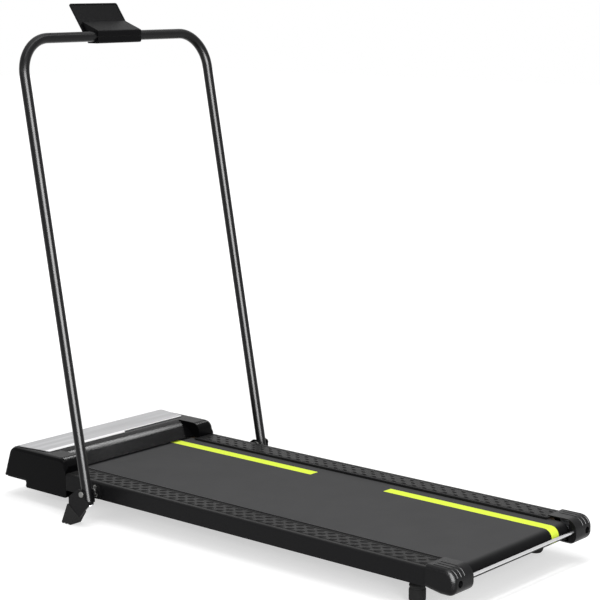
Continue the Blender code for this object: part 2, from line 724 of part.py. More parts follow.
def roller(name, along):
    """A thin-walled tube with a bearing seat in each end, spinning on a fixed axle."""
    seat = BEARING_RADIUS + FIT
    deep = BEARING_WIDTH + FIT
    bore = ROLLER_RADIUS - ROLLER_WALL - 0.0035
    profile = [
        (ROLLER_RADIUS - 0.001, ROLLER_HALF), (ROLLER_RADIUS, ROLLER_HALF - 0.001),
        (ROLLER_RADIUS, -ROLLER_HALF + 0.001), (ROLLER_RADIUS - 0.001, -ROLLER_HALF),
        (seat, -ROLLER_HALF), (seat, -ROLLER_HALF + deep), (bore, -ROLLER_HALF + deep),
        (bore, ROLLER_HALF - deep), (seat, ROLLER_HALF - deep), (seat, ROLLER_HALF)]
    item = turned(name, profile, (0.0, along, ROLLER_Z), BRIGHT, closed=True)
    return item


def bearing(name, side, along):
    """A ball bearing in a roller's end, as a plain ring on the axle."""
    middle = side * (ROLLER_HALF - BEARING_WIDTH / 2)
    profile = ring(BEARING_RADIUS, AXLE_RADIUS + FIT, middle - BEARING_WIDTH / 2, middle + BEARING_WIDTH / 2)
    return turned(name, profile, (0.0, along, ROLLER_Z), BRIGHT, steps=16, closed=True)


def rear_axle_block(side_name, side):
    """The sliding block in the channel that holds an end of the rear axle."""
    low, high = span(side, BLOCK_INNER, BLOCK_OUTER)
    rear = REAR_ROLLER_Y - MOUNT_BLOCK_LENGTH / 2
    item = box(f"rear_axle_block_{side_name}", (low, rear, SHELF_TOP + FIT),
               (high, rear + MOUNT_BLOCK_LENGTH, FRAME_TOP - STEEL_SHEET - FIT), CAST, edge=0.001)
    bore = rod(f"rear_axle_bore_{side_name}", (side * (BLOCK_INNER - 0.01), REAR_ROLLER_Y, ROLLER_Z),
               (side * (REAR_AXLE_REACH + FIT), REAR_ROLLER_Y, ROLLER_Z), AXLE_RADIUS + FIT, CAST,
               sides=20, collection=CUTTERS)
    seat = rod(f"tension_seat_{side_name}", (side * TENSION_BOLT_X, rear - 0.005, ROLLER_Z),
               (side * TENSION_BOLT_X, BOLT_END_Y, ROLLER_Z), TENSION_BOLT_RADIUS + FIT, CAST,
               sides=12, collection=CUTTERS)
    return cut(item, bore, seat)


running_surface()
for side_name, side in SIDES:
    cushions(side_name, side)
    rear_axle_block(side_name, side)
for end_name, roller_y, reach in (("rear", REAR_ROLLER_Y, REAR_AXLE_REACH),
                                  ("front", FRONT_ROLLER_Y, FRONT_AXLE_REACH)):
    rod(f"{end_name}_axle", (-reach, roller_y, ROLLER_Z), (reach, roller_y, ROLLER_Z),
        AXLE_RADIUS, BRIGHT, sides=20)
    spin_axis = axis_empty(f"{end_name}_roller_axis", (0.0, roller_y, ROLLER_Z))
    ride(roller(f"{end_name}_roller", roller_y), spin_axis)
    for side_name, side in SIDES:
        bearing(f"{end_name}_bearing_{side_name}", side, roller_y)


# Foot rails: moulded covers over the channels
def foot_rail(side_name, side):
    """The cover's section: a skirt outside, a tread on top, a lip over the belt."""
    groove = 0.0008
    top = [(RAIL_INNER, RAIL_TOP - RAIL_WALL), (RAIL_INNER, RAIL_TOP - 0.001), (RAIL_INNER + 0.001, RAIL_TOP)]
    for edge_x in (RAIL_INNER + 0.009, HALF - 0.014):
        top += [(edge_x, RAIL_TOP), (edge_x + 0.0006, RAIL_TOP - groove),
                (edge_x + 0.0022, RAIL_TOP - groove), (edge_x + 0.0028, RAIL_TOP)]
    shoulder = arc((HALF - 0.005, RAIL_TOP - 0.005), 0.005, 90, 0, 4)
    skirt = [(HALF, RAIL_LOW), (HALF - RAIL_WALL, RAIL_LOW)]
    inside = arc((HALF - 0.005, RAIL_TOP - 0.005), 0.005 - RAIL_WALL, 0, 90, 3)
    item = sheet(f"foot_rail_{side_name}", mirrored(top + shoulder + skirt + inside, side), "front",
                 RAIL_REAR, RAIL_FRONT, TREAD)
    return cut(item, bolt_holes(f"rail_{side_name}", side))


# End caps: rounded mouldings that close the rails and hold the rear bar
def flute(name, middle):
    """A shallow groove that runs along a cap's top and down its rear."""
    depth = CAP_FLUTE_DEPTH
    centre = (REAR + CAP_RADIUS, CAP_TOP - CAP_RADIUS)
    front = CAP_FRONT - 0.007
    outline = [(front, CAP_TOP + 0.01), (front, CAP_TOP - depth),
               *arc(centre, CAP_RADIUS - depth, 90, 160, 4)]
    outline += [(REAR - 0.01, outline[-1][1]), (REAR - 0.01, CAP_TOP + 0.01)]
    half = CAP_FLUTE_WIDTH / 2
    return sheet(name, outline, "side", middle - half, middle + half, MOULDED, collection=CUTTERS)


def end_cap(side_name, side):
    outline = rounded([
        (CAP_FRONT, CAP_TOP, 0.001), (REAR, CAP_TOP, CAP_RADIUS),
        (REAR, CAP_FLOOR, CAP_LOW_RADIUS), (REAR + 0.034, CAP_FLOOR, 0.02),
        (CAP_FRONT, RAIL_LOW - CAP_PROUD, 0.001)], 5)
    low, high = span(side, CAP_INNER, CAP_OUTER)
    item = sheet(f"end_cap_{side_name}", outline, "side", low, high, MOULDED)
    bpy.context.view_layer.update()
    soften(item, lambda ends: all(abs(end.x - side * CAP_OUTER) < 0.0001 and end.y < CAP_FRONT - 0.0005
                                  for end in ends), CAP_SHOULDER)
    well_low, well_high = span(side, CAP_INNER - 0.02, CAP_OUTER - CAP_WALL)
    well = box(f"cap_well_{side_name}", (well_low, CAP_WALL_Y, CAP_FLOOR + CAP_FLOOR_WALL),
               (well_high, CAP_FRONT + 0.02, CAP_TOP - CAP_WALL), MOULDED, collection=CUTTERS)
    bar_hole = rod(f"bar_hole_{side_name}", (side * (CAP_INNER - 0.01), REAR_BAR_Y, REAR_BAR_Z),
                   (side * (CAP_INNER + REAR_BAR_SEAT + FIT), REAR_BAR_Y, REAR_BAR_Z),
                   REAR_BAR_RADIUS + FIT, MOULDED, sides=16, collection=CUTTERS)
    bolt_hole = rod(f"bolt_hole_{side_name}", (side * TENSION_BOLT_X, REAR - 0.01, ROLLER_Z),
                    (side * TENSION_BOLT_X, CAP_WALL_Y + 0.005, ROLLER_Z), BOLT_WELL_RADIUS, MOULDED,
                    sides=16, collection=CUTTERS)
    chamfer = sheet(f"cap_chamfer_{side_name}", mirrored([
        (CAP_INNER - 0.01, CAP_FLOOR - 0.01), (CAP_INNER + CAP_INNER_CHAMFER, CAP_FLOOR - 0.01),
        (CAP_INNER + CAP_INNER_CHAMFER, CAP_FLOOR), (CAP_INNER, CAP_FLOOR + CAP_INNER_CHAMFER),
        (CAP_INNER - 0.01, CAP_FLOOR + CAP_INNER_CHAMFER)], side), "front",
        REAR - 0.01, CAP_FRONT + 0.01, MOULDED, collection=CUTTERS)
    flutes = [flute(f"cap_flute_{side_name}_{number}", side * (CAP_OUTER - inset))
              for number, inset in enumerate(CAP_FLUTES)]
    return cut(item, well, bar_hole, bolt_hole, chamfer, *flutes)


def bolt(name, location, direction, profile, steps=12):
    work = bmesh.new()
    spin_into(work, profile, pointing(location, direction), steps)
    return from_bmesh(name, work, BRIGHT, smooth=True)


def tension_bolt(side_name, side):
    """The screw through the cap that pulls the rear axle's block back."""
    seat = CAP_WALL_Y - 0.006
    reach = BOLT_END_Y - 0.001 - seat
    profile = bolt_profile(0.0055, 0.0045, TENSION_BOLT_RADIUS, reach)
    return bolt(f"tension_bolt_{side_name}", (side * TENSION_BOLT_X, seat, ROLLER_Z), (0, -1, 0), profile)


def rear_foot(side_name, side):
    """A moulded rubber foot under the rear strap's end."""
    top = STRAP_TOP - STEEL_SHEET - FIT
    wide = REAR_FOOT_RADIUS
    neck = REAR_FOOT_NECK
    profile = [(0.0, top), (neck, top), (neck, top - 0.0068), (wide - 0.001, top - 0.0105),
               (wide, top - 0.013), (wide - 0.0015, top - 0.015), (wide - 0.0015, top - 0.018),
               (wide, top - 0.020), (wide, 0.008), (wide - 0.0015, 0.0035), (wide - 0.004, 0.0), (0.0, 0.0)]
    return turned(f"rear_foot_{side_name}", profile, (side * REAR_FOOT_X, STRAP_PLACES["rear"], 0.0),
                  RUBBER, steps=16, upright=True)


for side_name, side in SIDES:
    foot_rail(side_name, side)
    end_cap(side_name, side)
    rear_foot(side_name, side)
    tension_bolt(side_name, side)
rod("rear_bar", (-CAP_INNER - REAR_BAR_SEAT, REAR_BAR_Y, REAR_BAR_Z),
    (CAP_INNER + REAR_BAR_SEAT, REAR_BAR_Y, REAR_BAR_Z), REAR_BAR_RADIUS, BRIGHT)


# Hinge brackets, their shoes and the bolts that hold them
def ear_edge(along):
    """The height of the ears' slanting lower edge."""
    return EAR_TIP_Z + (along - EAR_TIP_Y) * EAR_SLOPE


def hinge_bracket(side_name, side):
    """A welded clevis: plate on the rail, front web, two ears, a sole plate and a stop."""
    name = f"hinge_bracket_{side_name}"
    low, high = span(side, BRACKET_X, BRACKET_X + BRACKET_PLATE)
    plate = [(BRACKET_REAR, BRACKET_LOW, 0.003), (BRACKET_FRONT, BRACKET_LOW, 0.003),
             (BRACKET_FRONT, BRACKET_NOSE_Z, 0.006), (PIVOT_Y + BRACKET_BREAK_REACH, BRACKET_TOP, 0.012),
             (BRACKET_REAR, BRACKET_TOP, 0.006)]
    item = sheet(name, rounded(plate, 2), "side", low, high, FRAME_BLACK)
    ear_rear = PIVOT_Y - EAR_BEHIND_PIVOT
    ear_top = PIVOT_Z + EAR_ABOVE_PIVOT
    stop_rear = STOP_FRONT - EAR_THICKNESS
    front = [(EAR_FRONT, EAR_FRONT_LOW, 0.003), (EAR_FRONT, EAR_FRONT_TOP, 0.004),
             (PIVOT_Y + EAR_TOP_REACH, ear_top, 0.005), (ear_rear, ear_top, 0.008)]
    outer = [(EAR_TIP_Y, EAR_TIP_Z, 0.003), *front, (ear_rear, STOP_LOW + STOP_HEIGHT + 0.004),
             (stop_rear, STOP_LOW + STOP_HEIGHT), (stop_rear, STOP_LOW)]
    inner_tip = PIVOT_Y + EAR_INNER_TIP
    inner = [(inner_tip, ear_edge(inner_tip), 0.002), *front, (ear_rear, EAR_INNER_LOW)]
    tools = []
    for near, ear in ((EAR_INNER_X, inner), (EAR_OUTER_X, outer)):
        low, high = span(side, near, near + EAR_THICKNESS)
        tools.append(sheet(f"{name}_ear_{len(tools)}", rounded(ear, 2), "side", low, high, FRAME_BLACK,
                           collection=CUTTERS))
    web_front = EAR_FRONT - WEB_SETBACK
    low, high = span(side, BRACKET_X + 0.001, EAR_OUTER_X + 0.001)
    tools.append(box(f"{name}_web", (low, web_front - EAR_THICKNESS, ear_edge(web_front) + 0.001),
                     (high, web_front, WEB_TOP), FRAME_BLACK, collection=CUTTERS))
    low, high = span(side, EAR_INNER_X + 0.001, EAR_OUTER_X + 0.001)
    rear = inner_tip + 0.002
    tread = [(rear, ear_edge(rear) + 0.0002), (web_front + 0.001, ear_edge(web_front + 0.001) + 0.0002),
             (web_front + 0.001, ear_edge(web_front + 0.001) + EAR_THICKNESS),
             (rear, ear_edge(rear) + EAR_THICKNESS)]
    tools.append(sheet(f"{name}_sole", tread, "side", low, high, FRAME_BLACK, collection=CUTTERS))
    low, high = span(side, EAR_OUTER_X + 0.001 - STOP_WIDTH, EAR_OUTER_X + 0.001)
    tools.append(box(f"{name}_stop", (low, stop_rear + 0.0003, STOP_LOW + 0.0003),
                     (high, STOP_FRONT, STOP_LOW + STOP_HEIGHT - 0.0003), FRAME_BLACK, collection=CUTTERS))
    join(item, *tools)
    bore = rod(f"{name}_bore", (side * (EAR_INNER_X - 0.01), PIVOT_Y, PIVOT_Z),
               (side * (EAR_OUTER_X + 0.01), PIVOT_Y, PIVOT_Z), PIVOT_BOLT_RADIUS + FIT, FRAME_BLACK,
               sides=12, collection=CUTTERS)
    return cut(item, bore, bolt_holes(name, side))


def front_shoe(side_name, side):
    """A rubber wedge under the bracket's slanting sole plate, with two drain grooves."""
    heel = PIVOT_Y + SHOE_HEEL_REACH
    toe = PIVOT_Y + SHOE_TOE_REACH
    gap = FIT * math.hypot(1.0, EAR_SLOPE)
    rear = PIVOT_Y + SHOE_REAR_TOP
    front = PIVOT_Y + SHOE_FRONT_TOP
    sole = [(rear, ear_edge(rear) - gap), (heel, 0.0, 0.003)]
    for groove in SHOE_GROOVES:
        sole += [(heel + groove, 0.0), (heel + groove + 0.001, SHOE_GROOVE_DEPTH),
                 (heel + groove + 0.004, SHOE_GROOVE_DEPTH), (heel + groove + 0.005, 0.0)]
    sole += [(toe, 0.0, 0.003), (front, ear_edge(front) - gap, 0.002)]
    middle = TUBE_HALF_SPAN + SHOE_OUTWARD
    low, high = span(side, middle - SHOE_HALF_WIDTH, middle + SHOE_HALF_WIDTH)
    return sheet(f"front_shoe_{side_name}", rounded(sole, 3), "side", low, high, RUBBER)


def pivot_bolt(side_name, side):
    """The hinge's shoulder bolt, with its nut inside the inner ear."""
    head = EAR_OUTER_X + EAR_THICKNESS + FIT
    nut = EAR_INNER_X - FIT
    top = head + PIVOT_HEAD_HEIGHT
    low = nut - PIVOT_NUT_HEIGHT
    profile = [(0.0, top), (PIVOT_HEAD_RADIUS - 0.0015, top), (PIVOT_HEAD_RADIUS, top - 0.0015),
               (PIVOT_HEAD_RADIUS, head), (PIVOT_BOLT_RADIUS, head), (PIVOT_BOLT_RADIUS, nut),
               (PIVOT_NUT_RADIUS, nut), (PIVOT_NUT_RADIUS, low), (0.0, low)]
    return bolt(f"pivot_bolt_{side_name}", (0, PIVOT_Y, PIVOT_Z), (side, 0, 0), profile, steps=16)


# Handrail: one bent tube on two hinge fittings, folding about the pivot axis
HANDRAIL = axis_empty("handrail_axis", (0.0, PIVOT_Y, PIVOT_Z))
HANDRAIL.rotation_euler = (-LEAN, 0.0, 0.0)
bpy.context.view_layer.update()


def rail_path(start):
    """The tube's centre line in the handrail's own frame."""
    points = [(-TUBE_HALF_SPAN, 0.0, start)]
    bend_z = UPRIGHT - TUBE_BEND
    for centre_x, first, last in ((TUBE_BEND - TUBE_HALF_SPAN, 180, 90), (TUBE_HALF_SPAN - TUBE_BEND, 90, 0)):
        points += [(across, 0.0, up) for across, up in arc((centre_x, bend_z), TUBE_BEND, first, last, 7)]
    return points + [(TUBE_HALF_SPAN, 0.0, start)]


def pivot_bore(name, side):
    """A cutter for the bolt, turned so that no corner of it meets a seam of the tube."""
    outline = arc((0.0, 0.0), PIVOT_BOLT_RADIUS + FIT, 15, 345, 11)
    low, high = span(side, TUBE_HALF_SPAN - 2 * TUBE_RADIUS, TUBE_HALF_SPAN + 2 * TUBE_RADIUS)
    return sheet(name, outline, "side", low, high, CAST, collection=CUTTERS)


def handrail_tube():
    item = pipe("handrail_tube", rail_path(TUBE_START), TUBE_RADIUS, GLOSS_BLACK, sides_level=5)
    bore = pipe("handrail_bore", rail_path(TUBE_START - 0.01), TUBE_RADIUS - TUBE_WALL, GLOSS_BLACK,
                CUTTERS, sides_level=3)
    crossings = [pivot_bore(f"tube_bore_{side_name}", side) for side_name, side in SIDES]
    bpy.context.view_layer.update()
    for solid in (item, bore, *crossings):
        solid.matrix_world = HANDRAIL.matrix_world @ solid.matrix_world
    cut(item, bore, *crossings)
    return ride(item, HANDRAIL)


def hinge_fitting(side_name, side):
    """A turned end: a foot that closes the tube and a plug in it, bored for the bolt."""
    shoulder = TUBE_START - FIT
    plug = TUBE_RADIUS - TUBE_WALL - 2 * FIT
    foot = shoulder - PLUG_FOOT
    profile = [(0.0, shoulder + PLUG_LENGTH), (plug - 0.001, shoulder + PLUG_LENGTH),
               (plug, shoulder + PLUG_LENGTH - 0.001), (plug, shoulder), (TUBE_RADIUS, shoulder),
               (TUBE_RADIUS, foot + 0.001), (TUBE_RADIUS - 0.001, foot), (0.0, foot)]
    item = turned(f"hinge_fitting_{side_name}", profile, (side * TUBE_HALF_SPAN, 0.0, 0.0), CAST,
                  steps=16, upright=True)
    bore = pivot_bore(f"plug_bore_{side_name}", side)
    bpy.context.view_layer.update()
    for solid in (item, bore):
        solid.matrix_world = HANDRAIL.matrix_world @ solid.matrix_world
    cut(item, bore)
    return ride(item, HANDRAIL)


for side_name, side in SIDES:
    hinge_bracket(side_name, side)
    front_shoe(side_name, side)
    hinge_fitting(side_name, side)
    pivot_bolt(side_name, side)
handrail_tube()


# Console: a split block round the top bar, carrying the device plate
BAR_MATRIX = Matrix.Translation((0.0, BAR_Y, BAR_Z))
PLATE_MATRIX = (BAR_MATRIX @ Matrix.Translation((0.0, PLATE_FOOT_Y, PLATE_FOOT_Z))
                @ Matrix.Rotation(-PLATE_LEAN, 4, "X"))


def plate_face(up):
    """How far forward of the bar's centre the plate's face is at a height."""
    return PLATE_FOOT_Y + (up - PLATE_FOOT_Z) * math.tan(PLATE_LEAN)


def console_half(name, corners, first, last):
    """Half of the block: outer corners, then the bore's arc back to the start."""
    split = math.degrees(math.asin(CONSOLE_SPLIT / CONSOLE_BORE))
    outline = rounded(corners, 3) + arc((0.0, 0.0), CONSOLE_BORE, first + split, last - split, 10)
    item = sheet(name, outline, "side", -CONSOLE_WIDTH / 2, CONSOLE_WIDTH / 2, CONSOLE)
    item.matrix_world = BAR_MATRIX @ item.matrix_world
    return ride(item, HANDRAIL)


def device_plate():
    """A thin leaning board with a raised rim that a phone or tablet leans on."""
    half = PLATE_WIDTH / 2
    top = PLATE_LENGTH - PLATE_BELOW
    outline = rounded([(-half, -PLATE_BELOW, 0.004), (half, -PLATE_BELOW, 0.004),
                       (half, top, 0.004), (-half, top, 0.004)], 3)
    item = sheet("device_plate", outline, "front", FIT, FIT + PLATE_THICKNESS, CONSOLE)
    field = box("plate_field", (-half + PLATE_RIM, -0.01, 0.030),
                (half - PLATE_RIM, FIT + PLATE_RECESS, top - PLATE_RIM), CONSOLE, collection=CUTTERS)
    bpy.context.view_layer.update()
    for solid in (item, field):
        solid.matrix_world = PLATE_MATRIX @ solid.matrix_world
    cut(item, field)
    return ride(item, HANDRAIL)


console_half("console_block", [
    (-CONSOLE_BACK, CONSOLE_SPLIT), (-CONSOLE_BACK, CONSOLE_EDGE_Z, 0.004),
    (plate_face(CONSOLE_TOP_Z) - 0.002, CONSOLE_TOP_Z, 0.0015),
    (plate_face(CONSOLE_SPLIT) - FIT, CONSOLE_SPLIT)], 0, 180)
console_half("console_clamp", [
    (CLAMP_FRONT, -CONSOLE_SPLIT), (CLAMP_FRONT, -CLAMP_DEPTH, 0.002),
    (-CONSOLE_BACK, -CLAMP_DEPTH, 0.005), (-CONSOLE_BACK, -CONSOLE_SPLIT)], 180, 360)
device_plate()


# Motor hood: an outer shape, less the pocket over the belt and the hollow inside
NOSE = (Matrix.Translation((0.0, NOSE_FACE_Y, SOCKET_Z)) @ Matrix.Rotation(NOSE_ANGLE, 4, "X")
        @ Matrix.Translation((0.0, -FRONT, -SOCKET_Z)))


def on_flank(ends):
    """True for an edge of the hood's flat side, above its lower edge."""
    level = all(abs(abs(end.x) - HALF) < 0.00001 for end in ends)
    return level and all(end.z > HOOD_FLOOR + 0.004 for end in ends) and abs(ends[0].x - ends[1].x) < 0.001


def on_nose(item):
    """Turns a piece and its cutters, built on an upright wall, onto the hood's raked nose."""
    bpy.context.view_layer.update()
    for solid in (item, *[change.object for change in item.modifiers]):
        solid.matrix_world = NOSE @ solid.matrix_world
    return item


def motor_hood():
    outer = rounded([
        (HOOD_REAR, HOOD_FLOOR, 0.003), (HOOD_NOSE_Y - 0.006, HOOD_FLOOR, 0.003),
        (HOOD_NOSE_Y, HOOD_NOSE_FLOOR, 0.003), (NOSE_TIP_Y, HOOD_NOSE_FLOOR, HOOD_NOSE_CORNER),
        (NOSE_TIP_Y - HOOD_NOSE_RAKE, HOOD_TOP, HOOD_NOSE_RADIUS),
        (HOOD_REAR, HOOD_TOP, HOOD_WING_RADIUS)], 4)
    item = sheet("motor_hood", outer, "side", -HALF, HALF, MOULDED)
    soften(item, on_flank, HOOD_SHOULDER)
    wing_inner = HALF - HOOD_WING_WIDTH
    below = HOOD_FLOOR - 0.02
    foot_y = LIP[2][0] + LIP_WALL_SHIFT
    pocket_outline = [(HOOD_REAR - 0.02, below), (foot_y, below), (foot_y, LIP[2][1]), *reversed(LIP),
                      (LIP[0][0], HOOD_TOP + 0.02), (HOOD_REAR - 0.02, HOOD_TOP + 0.02)]
    pocket = sheet("hood_pocket", pocket_outline, "side", -wing_inner, wing_inner, MOULDED,
                   collection=CUTTERS)
    ceiling = HOOD_TOP - HOOD_WALL
    inner_front = NOSE_TIP_Y - HOOD_WALL / math.cos(NOSE_ANGLE)
    hollow_outline = rounded([
        (foot_y, below), (inner_front, below), (inner_front, HOOD_NOSE_FLOOR),
        (inner_front - NOSE_SLOPE * (ceiling - HOOD_NOSE_FLOOR), ceiling, HOOD_NOSE_RADIUS - HOOD_WALL),
        (LIP[0][0] + LIP_WALL_SHIFT, ceiling),
        (LIP[1][0] + LIP_WALL_SHIFT, LIP[1][1] - 0.001), (foot_y, LIP[2][1])], 5)
    hollow = sheet("hood_hollow", hollow_outline, "side", -HALF + HOOD_WALL, HALF - HOOD_WALL, MOULDED,
                   collection=CUTTERS)
    tools = [pocket, hollow]
    for side_name, side in SIDES:
        low, high = span(side, wing_inner + HOOD_WALL, HALF - HOOD_WALL)
        wing = rounded([
            (HOOD_REAR + HOOD_WALL, below), (LIP[0][0] + 0.02, below), (LIP[0][0] + 0.02, ceiling),
            (HOOD_REAR + HOOD_WALL, ceiling, HOOD_WING_RADIUS - HOOD_WALL)], 4)
        tools.append(sheet(f"wing_hollow_{side_name}", wing, "side", low, high, MOULDED, collection=CUTTERS))
        low, high = span(side, wing_inner - 0.02, HALF - HOOD_WALL)
        tools.append(box(f"wing_door_{side_name}", (low, HOOD_REAR - 0.02, below),
                         (high, foot_y + 0.002, FRAME_TOP + 2 * FIT + 0.0005), MOULDED,
                         collection=CUTTERS))
    for name, across, half_x, half_z in (("inlet_window", INLET_X, INLET_HALF_X, INLET_HALF_Z),
                                         ("switch_window", SWITCH_X, SWITCH_HALF_X, SWITCH_HALF_Z)):
        window = box(name, (across - half_x - FIT, FRONT - 0.02, SOCKET_Z - half_z - FIT),
                     (across + half_x + FIT, FRONT + 0.01, SOCKET_Z + half_z + FIT), MOULDED,
                     collection=CUTTERS)
        tools.append(on_nose(window))
    return cut(item, *tools)


def hood_top_panel():
    """The bright insert on the hood, with a step in its rear edge."""
    front_y = FRONT - PANEL_FRONT_INSET
    rear_y = FRONT - PANEL_REAR_INSET
    step_y = rear_y + PANEL_STEP
    outline = rounded([
        (-PANEL_HALF_FRONT, front_y, 0.006), (-PANEL_HALF_REAR, rear_y, 0.008),
        (PANEL_STEP_X - 0.006, rear_y, 0.002), (PANEL_STEP_X, step_y, 0.002),
        (PANEL_HALF_REAR, step_y, 0.008), (PANEL_HALF_FRONT, front_y, 0.006)], 3)
    return sheet("hood_top_panel", outline, "plan", HOOD_TOP + FIT, HOOD_TOP + FIT + PANEL_THICKNESS, SILVER)


# Pan under the motor: a stepped sheet with vents, wheel slots and side flanges
def bottom_pan():
    rear = HOOD_REAR + HOOD_WALL + FIT
    front = FRONT - HOOD_WALL - FIT - 0.008
    step_rear = HOOD_NOSE_Y - 0.006
    outline = [(rear, HOOD_FLOOR), (step_rear, HOOD_FLOOR), (HOOD_NOSE_Y, HOOD_NOSE_FLOOR),
               (front, HOOD_NOSE_FLOOR), (front, NOSE_PAN_TOP), (HOOD_NOSE_Y - 0.0008, NOSE_PAN_TOP),
               (step_rear - 0.0008, PAN_TOP), (rear, PAN_TOP)]
    wide = HALF - HOOD_WALL - FIT
    item = sheet("bottom_pan", outline, "side", -wide, wide, FRAME_BLACK)
    flanges = []
    tools = []
    for side_name, side in SIDES:
        low, high = span(side, WEB_INNER - FIT - STEEL_SHEET, WEB_INNER - FIT)
        flanges.append(box(f"pan_flange_{side_name}", (low, FRONT_ROLLER_Y + PAN_FLANGE_GAP, PAN_TOP - 0.001),
                           (high, step_rear - 0.002, PAN_TOP + PAN_FLANGE_HEIGHT), FRAME_BLACK,
                           collection=CUTTERS))
        low, high = span(side, WHEEL_X - WHEEL_WIDTH / 2 - 0.001, WHEEL_X + WHEEL_WIDTH / 2 + 0.001)
        tools.append(box(f"wheel_slot_{side_name}", (low, WHEEL_Y - WHEEL_SLOT, HOOD_NOSE_FLOOR - 0.01),
                         (high, WHEEL_Y + WHEEL_SLOT, NOSE_PAN_TOP + 0.01), FRAME_BLACK, collection=CUTTERS))
        for number in range(VENTS_PER_SIDE):
            vent_y = HOOD_REAR + VENT_FIRST + VENT_STEP * number
            low, high = span(side, VENT_NEAR_X, VENT_FAR_X)
            tools.append(box(f"vent_{side_name}_{number}", (low, vent_y, HOOD_FLOOR - 0.01),
                             (high, vent_y + VENT_WIDTH, PAN_TOP + 0.01), FRAME_BLACK, collection=CUTTERS))
    join(item, *flanges)
    return cut(item, *tools)


# Transport wheels under the nose
def transport_wheel(side_name, side):
    half = WHEEL_WIDTH / 2
    middle = side * WHEEL_X
    bore = WHEEL_AXLE_RADIUS + FIT
    hub, dish, chamfer = WHEEL_HUB_RADIUS, WHEEL_DISH_RADIUS, WHEEL_CHAMFER
    low, high = middle - half, middle + half
    profile = [(hub, high), (hub, high - chamfer), (dish, high - chamfer), (dish, high),
               (WHEEL_RADIUS - chamfer, high), (WHEEL_RADIUS, high - chamfer),
               (WHEEL_RADIUS, low + chamfer), (WHEEL_RADIUS - chamfer, low),
               (dish, low), (dish, low + chamfer), (hub, low + chamfer), (hub, low), (bore, low), (bore, high)]
    spin_axis = axis_empty(f"wheel_axis_{side_name}", (middle, WHEEL_Y, WHEEL_Z))
    wheel = turned(f"transport_wheel_{side_name}", profile, (0.0, WHEEL_Y, WHEEL_Z), RUBBER, steps=16,
                   closed=True)
    ride(wheel, spin_axis)


def wheel_fork(side_name, side):
    """A folded fork on the pan: two feet, two ears and a bridge over the wheel."""
    near = WHEEL_WIDTH / 2 + 0.0008
    far = near + STEEL_SHEET
    foot = NOSE_PAN_TOP + FIT
    bridge = WHEEL_Z + WHEEL_RADIUS + 0.0015
    right = [(near, foot), (far + FORK_FOOT, foot), (far + FORK_FOOT, foot + STEEL_SHEET), (far, foot + STEEL_SHEET),
             (far, bridge + STEEL_SHEET)]
    left = [(-across, up) for across, up in reversed(right)]
    inside = [(-near, bridge), (near, bridge)]
    outline = [(side * WHEEL_X + across, up) for across, up in right + left + inside]
    item = sheet(f"wheel_fork_{side_name}", outline, "front", WHEEL_Y - FORK_HALF_LENGTH,
                 WHEEL_Y + FORK_HALF_LENGTH, FRAME_BLACK)
    reach = far + 0.003
    ends = [(side * WHEEL_X + way * reach, WHEEL_Y, WHEEL_Z) for way in (-1, 1)]
    cut(item, rod(f"fork_bore_{side_name}", *ends, WHEEL_AXLE_RADIUS + FIT, FRAME_BLACK, collection=CUTTERS))
    rod(f"wheel_axle_{side_name}", *ends, WHEEL_AXLE_RADIUS, BRIGHT)


# Power inlet and rocker switch in the nose
def rectangle(centre, half_x, half_z, radius=0.0):
    across, up = centre
    return rounded([(across - half_x, up - half_z, radius), (across + half_x, up - half_z, radius),
                    (across + half_x, up + half_z, radius), (across - half_x, up + half_z, radius)], 2)


def power_inlet():
    """A three-pin appliance inlet, held by a flange behind the hood's wall."""
    inner_wall = FRONT - HOOD_WALL - FIT
    centre = (INLET_X, SOCKET_Z)
    item = sheet("power_inlet", rectangle(centre, INLET_HALF_X, INLET_HALF_Z, 0.001), "front",
                 FRONT - 0.022, FRONT - 0.0005, MOULDED)
    flange = sheet("inlet_flange", rectangle(centre, INLET_HALF_X + 0.003, INLET_HALF_Z + 0.003), "front",
                   inner_wall - 0.002, inner_wall, MOULDED, collection=CUTTERS)
    left, right = INLET_X - SOCKET_HALF_X, INLET_X + SOCKET_HALF_X
    low, high = SOCKET_Z - SOCKET_HALF_Z, SOCKET_Z + SOCKET_HALF_Z
    socket = sheet("inlet_socket", rounded([
        (left, low, 0.001), (right, low, 0.001), (right, high - SOCKET_CHAMFER, 0.001),
        (right - SOCKET_CHAMFER, high, 0.001), (left + SOCKET_CHAMFER, high, 0.001),
        (left, high - SOCKET_CHAMFER, 0.001)], 2),
        "front", FRONT - SOCKET_DEPTH, FRONT + 0.01, MOULDED, collection=CUTTERS)
    join(item, flange)
    cut(item, socket)
    for number, (across, up) in enumerate(PRONGS):
        prong = box(f"inlet_prong_{number}",
                    (INLET_X + across - 0.0008, FRONT - SOCKET_DEPTH - 0.0015, SOCKET_Z + up - 0.002),
                    (INLET_X + across + 0.0008, FRONT - PRONG_SETBACK, SOCKET_Z + up + 0.002), MOULDED,
                    collection=CUTTERS)
        join(item, prong)
    return on_nose(item)


